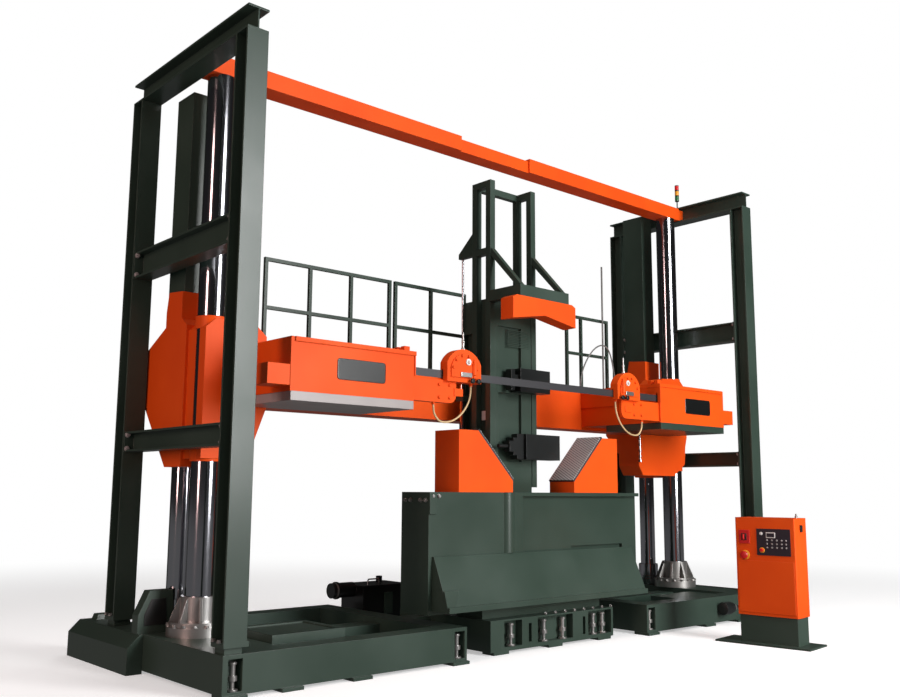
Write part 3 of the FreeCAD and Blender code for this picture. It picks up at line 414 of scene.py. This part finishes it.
def platePiece(name, places, size, body, finish, corner=0.004, bevel=0.002):
    # plate with rounded corners and a rounded top edge: width, height and thickness along each placement's axes
    width, height, depth = size
    ring = roundedRing(width, height, min(corner, 0.45 * min(width, height)))
    return loftPiece(name, raise_(ring, insetLevels(min(width, height), depth, bevel)), places, body, finish)


def slabPiece(name, outline, start, end, body, finish):
    # outline in X and Z carried along Y from start to end; outline runs counterclockwise seen from the front
    section = np.array(outline)
    rings = np.stack([np.column_stack([section[:, 0], np.full(len(section), y), section[:, 1]]) for y in (end, start)])
    return loftPiece(name, rings, [np.eye(4)], body, finish)


def rodPiece(name, route, radius, body, finish, sides=12):
    # circle carried along a bent route: at each point it lies across the mean of the two neighbouring directions
    points = np.array(route, float)
    steps = np.diff(points, axis=0)
    steps /= np.linalg.norm(steps, axis=1, keepdims=True)
    tangents = np.vstack([steps[:1], steps[:-1] + steps[1:], steps[-1:]])
    tangents /= np.linalg.norm(tangents, axis=1, keepdims=True)
    spread = np.linalg.svd(points - points.mean(axis=0))[2][2]
    across = np.cross(tangents, spread)
    across /= np.linalg.norm(across, axis=1, keepdims=True)
    over = np.cross(tangents, across)
    angles = np.linspace(0, 2 * np.pi, sides, endpoint=False)[None, :, None]
    rings = points[:, None] + radius * (np.cos(angles) * across[:, None] + np.sin(angles) * over[:, None])
    return loftPiece(name, rings, [np.eye(4)], body, finish, smooth=True)


def placement(at, up=(0, 0, 1), turn=0.0):
    # local Z goes along up, local X turned about it
    toUp = Vector(up).to_track_quat("Z", "Y").to_matrix().to_4x4()
    return np.array(Matrix.Translation(at) @ toUp @ Matrix.Rotation(turn, 4, "Z"))


boltFacts = {"across": 0.030, "height": 0.016, "washer": 0.021, "washerThickness": 0.004}


def makeBolts(name, spots, up, body, finish, scale=1.0):
    # hexagon head with a chamfered crown on a round washer
    facts = {key: value * scale for key, value in boltFacts.items()}
    radius = facts["across"] / math.sqrt(3)
    washer = raise_(circleRing(facts["washer"], 16), [(1, 0), (1, facts["washerThickness"])])
    low = facts["washerThickness"]
    head = raise_(circleRing(radius, 6), [(1, low), (1, low + facts["height"] * 0.8), (0.84, low + facts["height"])])
    places = [placement(spot, up, 0.3 * index) for index, spot in enumerate(spots)]
    loftPiece(name + "Washers", washer, places, body, finish)
    loftPiece(name + "Heads", head, places, body, finish)


columnX, frameHalfWidth, frameHalfDepth = 3.667, 4.057, 1.188
postInner = frameHalfDepth - 0.210

# bolts of the frame rails' end plates

railBolts = {"zPairs": (2.045, 2.180, 3.800, 4.000), "x": (3.880, 4.024), "scale": 1.3}
for side in (-1, 1):
    for endSide, endName in ((-1, "Front"), (1, "Rear")):
        spots = [(side * x, endSide * (postInner - 0.016), z) for x in railBolts["x"] for z in railBolts["zPairs"]]
        makeBolts(("left" if side < 0 else "right") + "Rail" + endName + "Bolts", spots, (0, -endSide, 0), "frame",
                  greyPaint, railBolts["scale"])

# ring of bolts on each column collar

collarBolts = {"circle": 0.268, "count": 16, "top": 0.430, "scale": 1.25}
for side in (-1, 1):
    ring = circleRing(collarBolts["circle"], collarBolts["count"], math.pi / 16)
    spots = [(side * columnX + x, y, collarBolts["top"]) for x, y in ring]
    makeBolts(("left" if side < 0 else "right") + "CollarBolts", spots, (0, 0, 1), "frame", machinedSteel,
              collarBolts["scale"])

# bolts at the foot of each frame post

footBolts = {"inset": 0.035, "top": 0.440, "scale": 1.2}
for side in (-1, 1):
    spots = [(side * (frameHalfWidth - 0.105 + dx * 0.112), y + dy * 0.05, footBolts["top"])
             for y in (-frameHalfDepth + 0.105, frameHalfDepth - 0.105) for dx in (-1, 1) for dy in (-1, 1)]
    makeBolts(("left" if side < 0 else "right") + "FootBolts", spots, (0, 0, 1), "frame", machinedSteel,
              footBolts["scale"])
print("bolts made")


# serrated faces of the jaws

ridgeFacts = {"pitch": 0.027, "flat": 0.70, "height": 0.006, "thickness": 0.022, "low": (0.500, 1.765),
              "high": (1.015, 2.285), "front": -0.905, "depth": 0.380, "margin": 0.004, "slant": 28.6}


def makeRidges(name, side, facts):
    # parallel slanted lines on the plate, each cut to the plate's rectangle; u runs up the slope and v to the rear.
    # a flat-topped ridge stands on every line, and the plate's dark finish between them is painted shade in the grooves
    run = np.array(facts["high"]) - np.array(facts["low"])
    length = float(np.hypot(*run))
    along = run / length
    normal = np.array([-along[1], along[0]])
    slant = math.radians(facts["slant"])
    direction = np.array([math.sin(slant), math.cos(slant)])
    across = np.array([direction[1], -direction[0]])
    size = np.array([length, facts["depth"]]) - 2 * facts["margin"]
    reach = np.array([across @ corner for corner in ((0, 0), (size[0], 0), (0, size[1]), tuple(size))])
    offsets = np.arange(reach.min() + facts["pitch"], reach.max() - facts["pitch"], facts["pitch"])
    halves = offsets[:, None] + np.array([-0.5, 0.5]) * facts["pitch"] * facts["flat"]
    base = halves[..., None] * across
    near = np.max(-base / direction, axis=-1)
    far = np.min((size - base) / direction, axis=-1)
    whole = (far > near + 0.002).all(axis=1)
    base, near, far = base[whole], near[whole], far[whole]
    low = base + near[..., None] * direction + facts["margin"]
    high = base + far[..., None] * direction + facts["margin"]
    outline = np.stack([low[:, 0], high[:, 0], high[:, 1], low[:, 1]], axis=1)
    start = np.array(facts["low"]) + normal * facts["thickness"]
    levels = np.array([0.0, facts["height"]])[:, None, None]
    flat = start + outline[..., :1] * along
    lifted = flat[:, None] + levels * normal
    depth = np.broadcast_to(facts["front"] + outline[:, None, :, 1:], (*lifted.shape[:3], 1))
    rings = np.concatenate([side * lifted[..., :1], depth, lifted[..., 1:]], axis=-1)
    if side > 0:
        rings = rings[:, :, ::-1]
    mesh = bpy.data.meshes.new(name)
    corners = np.arange(4)
    sides = np.stack([corners, (corners + 1) % 4, (corners + 1) % 4 + 4, corners + 4], axis=-1)
    box = np.vstack([sides, [[3, 2, 1, 0]], [[4, 5, 6, 7]]])
    faces = (box[None] + np.arange(len(rings))[:, None, None] * 8).reshape(-1, 4)
    mesh.from_pydata(rings.reshape(-1, 3).tolist(), [], faces.tolist())
    mesh.materials.append(jawSteel)
    piece = bpy.data.objects.new(name, mesh)
    bpy.context.collection.objects.link(piece)
    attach(piece, "frame")


makeRidges("rightJawRidges", 1, ridgeFacts)
makeRidges("leftJawRidges", -1, ridgeFacts)
print("jaw ridges made")


# anchor bolts standing in the pockets of the bases and the bed

anchorLevels = [(0.048, 0.0), (0.048, 0.016), (0.020, 0.018), (0.020, 0.080), (0.040, 0.080), (0.040, 0.118),
                (0.024, 0.120), (0.024, 0.205), (0.034, 0.207), (0.034, 0.222), (0.026, 0.228)]
anchorFacts = {"baseX": (1.523, 3.942), "baseY": 1.140, "baseLow": 0.056, "bedX": (-0.650, -0.150, 0.150, 0.660, 0.820),
               "bedY": -1.010, "bedLow": 0.071}
for side, name in ((-1, "left"), (1, "right")):
    spots = [placement((side * x, end * anchorFacts["baseY"], anchorFacts["baseLow"]))
             for x in anchorFacts["baseX"] for end in (-1, 1)]
    turnedPiece(name + "BaseAnchors", spots, anchorLevels, "frame", machinedSteel, 12)
turnedPiece("bedAnchors", [placement((x, anchorFacts["bedY"], anchorFacts["bedLow"])) for x in anchorFacts["bedX"]],
            anchorLevels, "frame", machinedSteel, 12)
edgeSpots = [(x, -1.050, 0.362) for x in np.linspace(-0.16, 0.93, 8)]
makeBolts("bedEdgeBolts", edgeSpots, (0, -1, 0), "frame", machinedSteel, 0.8)

# bracket and hatch behind the left side cover, and the shaft end on the right base

bracketOutline = np.array([(-4.100, 0.345), (-3.745, 0.345), (-3.772, 0.725), (-3.997, 0.725), (-4.100, 0.509)])
slabPiece("sideBracket", bracketOutline, 0.330, 0.452, "frame", greenPaint)
# black plate on the bracket's front face: painted shade standing in for its recess
shadeOutline = (bracketOutline - bracketOutline.mean(axis=0)) * 0.62 + bracketOutline.mean(axis=0)
slabPiece("sideBracketPaintedShade", shadeOutline, 0.326, 0.331, "frame", blackPaint)
hatchPlace = placement((-3.900, 1.600, 0.343))
loftPiece("sideHatch", raise_(roundedRing(0.200, 0.130, 0.008), [(1, 0), (0.82, 0.052), (0.78, 0.056)]), [hatchPlace],
          "frame", greenPaint)
shaftLevels = [(0.050, 0.0), (0.078, 0.006), (0.078, 0.150), (0.066, 0.158), (0.066, 0.205), (0.052, 0.212),
               (0.020, 0.214), (0.020, 0.372), (0.014, 0.378)]
turnedPiece("baseShaftEnd", [placement((2.875, -1.268, 0.205), (1, 0, 0))], shaftLevels, "frame", blackPaint,
            28)
turnedPiece("baseShaftBush", [placement((3.128, -1.268, 0.205), (1, 0, 0))], [(0.036, 0), (0.036, 0.03), (0.026, 0.034)],
            "frame", machinedSteel)
print("base details made")

# hydraulic unit: pump coupling, lid handle and cable plate

unitFacts = {"motorY": 0.980, "motorZ": 0.520, "tankFront": 0.760}
turnedPiece("pumpCoupling", [placement((-1.496, unitFacts["motorY"], unitFacts["motorZ"]), (1, 0, 0))],
            [(0.088, 0.0), (0.092, 0.006), (0.092, 0.040), (0.088, 0.046)], "frame", machinedSteel, 28)
rodPiece("lidHandle", [(-1.120, 0.84, 0.570), (-1.120, 0.84, 0.622), (-1.108, 0.84, 0.636), (-0.972, 0.84, 0.636),
                       (-0.960, 0.84, 0.622), (-0.960, 0.84, 0.570)], 0.009, "frame", machinedSteel)
platePiece("unitPlate", [placement((-0.883, unitFacts["tankFront"] - 0.001, 0.365), (0, -1, 0))], (0.120, 0.240, 0.012),
           "frame", greenPaint)

# funnel plate at the trough's left end and bolts on the jaw bed's corner

slabPiece("troughEar", [(-1.640, 0.505), (-1.548, 0.505), (-1.500, 0.690), (-1.690, 0.690)], -1.149, -1.128, "frame",
          greenPaint)
cornerSpots = [(x, -0.905, 1.600) for x in (-1.640, -1.560)]
makeBolts("jawBedCornerBolts", cornerSpots, (0, -1, 0), "frame", machinedSteel, 1.1)
makeBolts("jawBedEndBolts", [(-1.690, y, 1.560) for y in (-0.86, -0.78, -0.62, -0.54)], (-1, 0, 0), "frame",
          machinedSteel, 1.1)

# box on the tower's left side and the serrated pad under the clamp head

platePiece("towerBox", [placement((-0.298, -0.276, 2.515), (-1, 0, 0))], (0.090, 0.107, 0.030), "frame", whitePlastic)
padFacts = {"count": 11, "low": 3.335, "step": 0.019, "width": 0.36, "x": 0.085, "front": -0.425}
padPlaces = [placement((padFacts["x"], padFacts["front"] + 0.001, padFacts["low"] + index * padFacts["step"]), (0, -1, 0))
             for index in range(padFacts["count"])]
platePiece("towerPadRibs", padPlaces, (padFacts["width"], 0.010, 0.006), "frame", greenPaint, 0.002, 0.001)
print("tower details made")


# guide heads: bolts round the cap, clamping cylinder, pinned disc, hose union and wear pad holder

headFacts = {
    "left": {"centre": -1.357, "top": 3.095, "half": 0.234, "cap": -1.074},
    "right": {"centre": 1.345, "top": 3.085, "half": 0.215, "cap": -1.074},
}


def fitGuideHead(name, facts):
    body, side = name + "_arm", math.copysign(1, facts["centre"])
    x, top, cap = facts["centre"], facts["top"], facts["cap"]
    angles = np.radians(np.linspace(12, 168, 6))
    radius = facts["half"] - 0.066
    spots = [(x + radius * math.cos(a), cap, top - facts["half"] + radius * math.sin(a)) for a in angles]
    makeBolts(name + "CapBolts", spots, (0, -1, 0), body, orangePaint, 0.9)
    clampLevels = [(0.018, 0.0), (0.018, 0.030), (0.030, 0.032), (0.030, 0.150), (0.022, 0.156), (0.022, 0.176),
                   (0.012, 0.178), (0.012, 0.205)]
    turnedPiece(name + "ClampCylinder", [placement((x - side * 0.125, cap + 0.001, 2.800))], clampLevels, body,
                orangePaint)
    turnedPiece(name + "HeadPin", [placement((x - side * 0.040, cap + 0.002, top - 0.130), (0, -1, 0))],
                [(0.034, 0.0), (0.034, 0.012), (0.014, 0.013), (0.014, 0.030), (0.010, 0.034)], body, whitePlastic,
                24)
    turnedPiece(name + "HoseUnion", [placement((x - side * 0.030, -1.004, top - 0.004))],
                [(0.022, 0.0), (0.022, 0.022), (0.014, 0.026), (0.014, 0.080), (0.018, 0.082), (0.018, 0.100),
                 (0.009, 0.104), (0.009, 0.190)], body, machinedSteel)
    turnedPiece(name + "LockKnobs", [placement((x - side * dx, cap + 0.002, 2.772), (0, -1, 0)) for dx in (0.165, 0.080)],
                [(0.014, 0.0), (0.014, 0.016), (0.026, 0.018), (0.028, 0.036), (0.020, 0.042)], body, blackPaint,
                16)
    platePiece(name + "PadHolder", [placement((x - side * 0.010, cap + 0.001, 2.830), (0, -1, 0))], (0.150, 0.048, 0.014),
               body, machinedSteel)
    platePiece(name + "ArmPlate", [placement((x + side * 0.040, -1.007, 2.650), (0, -1, 0))], (0.120, 0.080, 0.010), body,
               orangePaint)
    barSpots = [(x + side * dx, -1.007, z) for dx in (0.16, 0.30) for z in (2.585, 2.715)]
    makeBolts(name + "ArmBolts", barSpots, (0, -1, 0), body, orangePaint, 0.9)


for name, facts in headFacts.items():
    fitGuideHead(name, facts)


# saw head: lid bolts and blocks on the covers, feed rod on the right carriage, outer pin

coverFacts = {"inner": 2.005, "outer": 3.420, "front": -1.035, "low": 2.520, "lid": 3.010}
for side, name in ((-1, "left"), (1, "right")):
    lidSpots = [(side * x, coverFacts["front"], coverFacts["lid"] - 0.030) for x in np.linspace(2.10, 3.33, 6)]
    makeBolts(name + "LidBolts", lidSpots, (0, -1, 0), "saw_head", orangePaint, 0.75)
    blockPlaces = [placement((side * 2.060, y, coverFacts["lid"] - 0.002)) for y in (-0.960, -0.860)]
    platePiece(name + "LidBlocks", blockPlaces, (0.070, 0.060, 0.055), "saw_head", orangePaint)
rodPiece("coverPin", [(3.412, -0.960, 2.960), (3.440, -0.960, 2.960), (3.480, -0.960, 2.960)], 0.008, "saw_head",
         blackPaint)
feedLevels = [(0.026, 0.0), (0.026, 0.030), (0.013, 0.032)]
for step in range(5):
    low = 0.060 + step * 0.080
    feedLevels += [(0.013, low), (0.021, low + 0.004), (0.021, low + 0.026), (0.013, low + 0.030)]
feedLevels += [(0.013, 0.440), (0.022, 0.442), (0.022, 0.463)]
turnedPiece("feedRod", [placement((2.680, -0.190, 2.058))], feedLevels, "saw_head", hardChrome, 16)
print("saw head details made")


# console fittings

consoleFacts = {"centre": (2.010, -2.420), "turn": -83.0, "shift": 0.055, "faceY": -0.165, "panelY": -0.171}


def onConsole(x, z, face=None, depth=0.0):
    # point on the console's broad face, from its own axes to the machine's
    y = (consoleFacts["faceY"] if face is None else face) - depth
    angle = math.radians(consoleFacts["turn"])
    local = (x + consoleFacts["shift"], y)
    return (consoleFacts["centre"][0] + local[0] * math.cos(angle) - local[1] * math.sin(angle),
            consoleFacts["centre"][1] + local[0] * math.sin(angle) + local[1] * math.cos(angle), z)


consoleAngle = math.radians(consoleFacts["turn"])
consoleOut = (math.sin(consoleAngle), -math.cos(consoleAngle), 0)


def consolePlace(x, z, face=None, turn=0.0):
    # local X along the console's width, local Y up, local Z out of its face
    width = Vector((math.cos(consoleAngle), math.sin(consoleAngle), 0))
    out = Vector(consoleOut)
    basis = Matrix((width, Vector((0, 0, 1)), out)).transposed().to_4x4()
    return np.array(Matrix.Translation(onConsole(x, z, face)) @ basis @ Matrix.Rotation(turn, 4, "Z"))


def consolePlate(name, x, z, width, height, depth, finish, face=None, corner=0.006, bevel=0.003):
    ring = roundedRing(width, height, corner)
    loftPiece(name, raise_(ring, insetLevels(min(width, height), depth, bevel)), [consolePlace(x, z, face)], "frame",
              finish)


def consoleKnob(name, x, z, levels, finish, face=None, sides=24):
    # radius and height pairs turned round the knob's axis
    loftPiece(name, raise_(circleRing(1.0, sides), levels), [consolePlace(x, z, face)], "frame", finish, smooth=True)


panelFace = consoleFacts["panelY"]
consolePlate("mainSwitchPlate", -0.235, 1.165, 0.125, 0.150, 0.012, redPlastic)
consolePlate("mainSwitchInset", -0.235, 1.165, 0.060, 0.075, 0.020, blackPaint, corner=0.004)
consolePlate("mainSwitchHandle", -0.235, 1.165, 0.016, 0.060, 0.040, redPlastic, corner=0.004)
consoleKnob("stopCollar", -0.230, 0.965, [(0.052, 0.0), (0.052, 0.010), (0.040, 0.016)], yellowPlastic)
consoleKnob("stopButton", -0.230, 0.965, [(0.026, 0.010), (0.026, 0.030), (0.042, 0.034), (0.044, 0.044), (0.038, 0.052),
                                         (0.020, 0.056)], redPlastic)
consolePlate("displayFrame", 0.072, 1.190, 0.105, 0.062, 0.006, whitePlastic, panelFace, 0.004, 0.002)
consolePlate("displayGlass", 0.072, 1.190, 0.086, 0.042, 0.0072, navyPanel, panelFace, 0.003, 0.001)
consoleKnob("whiteButton", -0.035, 1.205, [(0.018, 0.0), (0.018, 0.008), (0.013, 0.008), (0.013, 0.016), (0.009, 0.018)],
            whitePlastic, panelFace)
consoleKnob("rotarySkirt", -0.030, 1.025, [(0.030, 0.0), (0.030, 0.006), (0.026, 0.010)], yellowPlastic, panelFace)
consoleKnob("rotaryKnob", -0.030, 1.025, [(0.020, 0.008), (0.019, 0.030), (0.014, 0.034)], redPlastic, panelFace, 12)
smallButtons = [(x, z) for z in (1.135, 1.095, 1.055) for x in (0.030, 0.085, 0.140, 0.195, 0.245)]
loftPiece("panelButtons", raise_(circleRing(1.0, 16), [(0.010, 0), (0.010, 0.005), (0.007, 0.005), (0.007, 0.010),
                                                       (0.005, 0.011)]),
          [consolePlace(x, z, panelFace) for x, z in smallButtons], "frame", greyPaint, smooth=True)
latchPlace = placement(onConsole(0.3415, 1.265, 0.0), (math.cos(consoleAngle), math.sin(consoleAngle), 0))
platePiece("sideLatch", [latchPlace], (0.050, 0.075, 0.016), "frame", blackPaint)
keySpot = onConsole(0.30, 1.378, 0.0)
loftPiece("keyBarrel", raise_(circleRing(1.0, 16), [(0.016, 0), (0.016, 0.020), (0.010, 0.024), (0.010, 0.045),
                                                    (0.006, 0.047)]), [placement(keySpot)], "frame", machinedSteel,
          smooth=True)
print("console fitted")


# signal lamp lenses

lampFacts = {"x": 3.990, "low": 6.037, "height": 0.084, "radius": 0.0305, "base": 0.0}
lensFinishes = (greenLens, yellowPlastic, redPlastic)
for index, lensFinish in enumerate(lensFinishes):
    low = lampFacts["low"] + index * lampFacts["height"]
    levels = [(0.8, 0.004), (1, 0.010), (1, 0.074), (0.8, 0.080)]
    loftPiece("lampLens" + str(index + 1), raise_(circleRing(lampFacts["radius"], 20), levels),
              [placement((lampFacts["x"], 0, low))], "frame", lensFinish, smooth=True)


# bare plates on the wheel covers

plateFacts = {"front": -1.035, "leftAt": (-2.640, 2.760), "rightAt": (2.820, 2.760), "size": (0.560, 0.200)}
for name, (x, z) in (("leftBarePlate", plateFacts["leftAt"]), ("rightBarePlate", plateFacts["rightAt"])):
    ring = roundedRing(*plateFacts["size"], 0.03)
    loftPiece(name, raise_(ring, insetLevels(0.2, 0.006, 0.003)), [placement((x, plateFacts["front"], z), (0, -1, 0))],
              "saw_head", blackPaint)
print("plates made")


# studio: white floor that meets a white surround without an edge, and soft lights

studioFacts = {"floorHalf": 60.0, "fadeFrom": 7.0, "fadeTo": 15.0, "floorGlow": 0.42, "reflectedFloor": 0.14,
               "surround": 1.0, "reflectedSurround": 0.02, "ambient": 0.17}


def makeFloor(facts):
    # flat sheet: lit white near the machine, plain white light further out, and grey in reflections
    half = facts["floorHalf"]
    corners = np.array([(-1, -1, 0), (1, -1, 0), (1, 1, 0), (-1, 1, 0)]) * half
    mesh = bpy.data.meshes.new("studioFloor")
    mesh.from_pydata(corners.tolist(), [], [(0, 1, 2, 3)])
    material = bpy.data.materials.new("studioWhite")
    material.use_nodes = True
    tree = material.node_tree
    link = tree.links.new
    shader = tree.nodes["Principled BSDF"]
    shader.inputs["Base Color"].default_value = (0.80, 0.80, 0.80, 1)
    shader.inputs["Roughness"].default_value = 0.9
    shader.inputs["Specular IOR Level"].default_value = 0.1
    shader.inputs["Emission Color"].default_value = (1, 1, 1, 1)
    shader.inputs["Emission Strength"].default_value = facts["floorGlow"]
    coords = addNode(tree, "ShaderNodeTexCoord")
    distance = addNode(tree, "ShaderNodeVectorMath", operation="LENGTH")
    link(coords.outputs["Object"], distance.inputs[0])
    fade = addNode(tree, "ShaderNodeMapRange", interpolation_type="SMOOTHSTEP")
    fade.inputs["From Min"].default_value = facts["fadeFrom"]
    fade.inputs["From Max"].default_value = facts["fadeTo"]
    link(distance.outputs["Value"], fade.inputs["Value"])
    glow = addNode(tree, "ShaderNodeEmission")
    glow.inputs["Strength"].default_value = facts["surround"]
    seen = addNode(tree, "ShaderNodeMixShader")
    link(fade.outputs["Result"], seen.inputs["Fac"])
    link(shader.outputs["BSDF"], seen.inputs[1])
    link(glow.outputs["Emission"], seen.inputs[2])
    dim = addNode(tree, "ShaderNodeEmission")
    dim.inputs["Strength"].default_value = facts["reflectedFloor"]
    rays = addNode(tree, "ShaderNodeLightPath")
    both = addNode(tree, "ShaderNodeMixShader")
    link(rays.outputs["Is Camera Ray"], both.inputs["Fac"])
    link(dim.outputs["Emission"], both.inputs[1])
    link(seen.outputs["Shader"], both.inputs[2])
    link(both.outputs["Shader"], tree.nodes["Material Output"].inputs["Surface"])
    mesh.materials.append(material)
    floor = bpy.data.objects.new("studioFloor", mesh)
    bpy.context.collection.objects.link(floor)


def makeSurround(facts):
    # white to the camera, nearly black in reflections, and dim where it lights surfaces
    world = bpy.data.worlds.new("studioAir")
    world.use_nodes = True
    tree = world.node_tree
    strength = addNode(tree, "ShaderNodeMapRange")
    rays = addNode(tree, "ShaderNodeLightPath")
    strength.inputs["To Min"].default_value = facts["ambient"]
    strength.inputs["To Max"].default_value = facts["reflectedSurround"]
    tree.links.new(rays.outputs["Is Glossy Ray"], strength.inputs["Value"])
    seen = addNode(tree, "ShaderNodeMapRange")
    tree.links.new(rays.outputs["Is Camera Ray"], seen.inputs["Value"])
    tree.links.new(strength.outputs["Result"], seen.inputs["To Min"])
    seen.inputs["To Max"].default_value = facts["surround"]
    tree.links.new(seen.outputs["Result"], tree.nodes["Background"].inputs["Strength"])
    tree.nodes["Background"].inputs["Color"].default_value = (1, 1, 1, 1)
    bpy.context.scene.world = world


lightFacts = {
    "keyLight": {"place": (2.2, -14.5, 6.0), "target": (0, 0, 2.9), "size": (4.6, 9.0), "power": 2500,
                 "colour": (1, 1, 1)},
    "leftFill": {"place": (-16, -3.5, 5.5), "target": (0, 0, 2.8), "size": (2.4, 8.0), "power": 700,
                 "colour": (1.0, 0.66, 0.60)},
    "topLight": {"place": (0, -1, 13), "target": (0, 0, 0), "size": (14, 8), "power": 420, "colour": (1, 1, 1),
                 "reflected": False},
    "rearFill": {"place": (9, 14, 7), "target": (0, 0, 2.8), "size": (7, 7), "power": 500, "colour": (1, 1, 1),
                 "reflected": False},
    "underLight": {"place": (0, -6, 0.15), "target": (0, 0, 4.5), "size": (12, 2), "power": 220,
                   "colour": (1.0, 0.8, 0.75), "reflected": False},
}


def makeAreaLight(name, facts):
    data = bpy.data.lights.new(name, "AREA")
    data.shape = "RECTANGLE"
    data.size, data.size_y = facts["size"]
    data.energy = facts["power"]
    data.color = facts["colour"]
    light = bpy.data.objects.new(name, data)
    light.visible_camera = False
    light.visible_glossy = facts.get("reflected", True)
    bpy.context.collection.objects.link(light)
    direction = Vector(facts["target"]) - Vector(facts["place"])
    light.matrix_world = Matrix.Translation(facts["place"]) @ direction.to_track_quat("-Z", "Y").to_matrix().to_4x4()


makeFloor(studioFacts)
makeSurround(studioFacts)
for lightName, facts in lightFacts.items():
    makeAreaLight(lightName, facts)
bpy.context.scene.view_settings.view_transform = "Standard"
print("studio made")
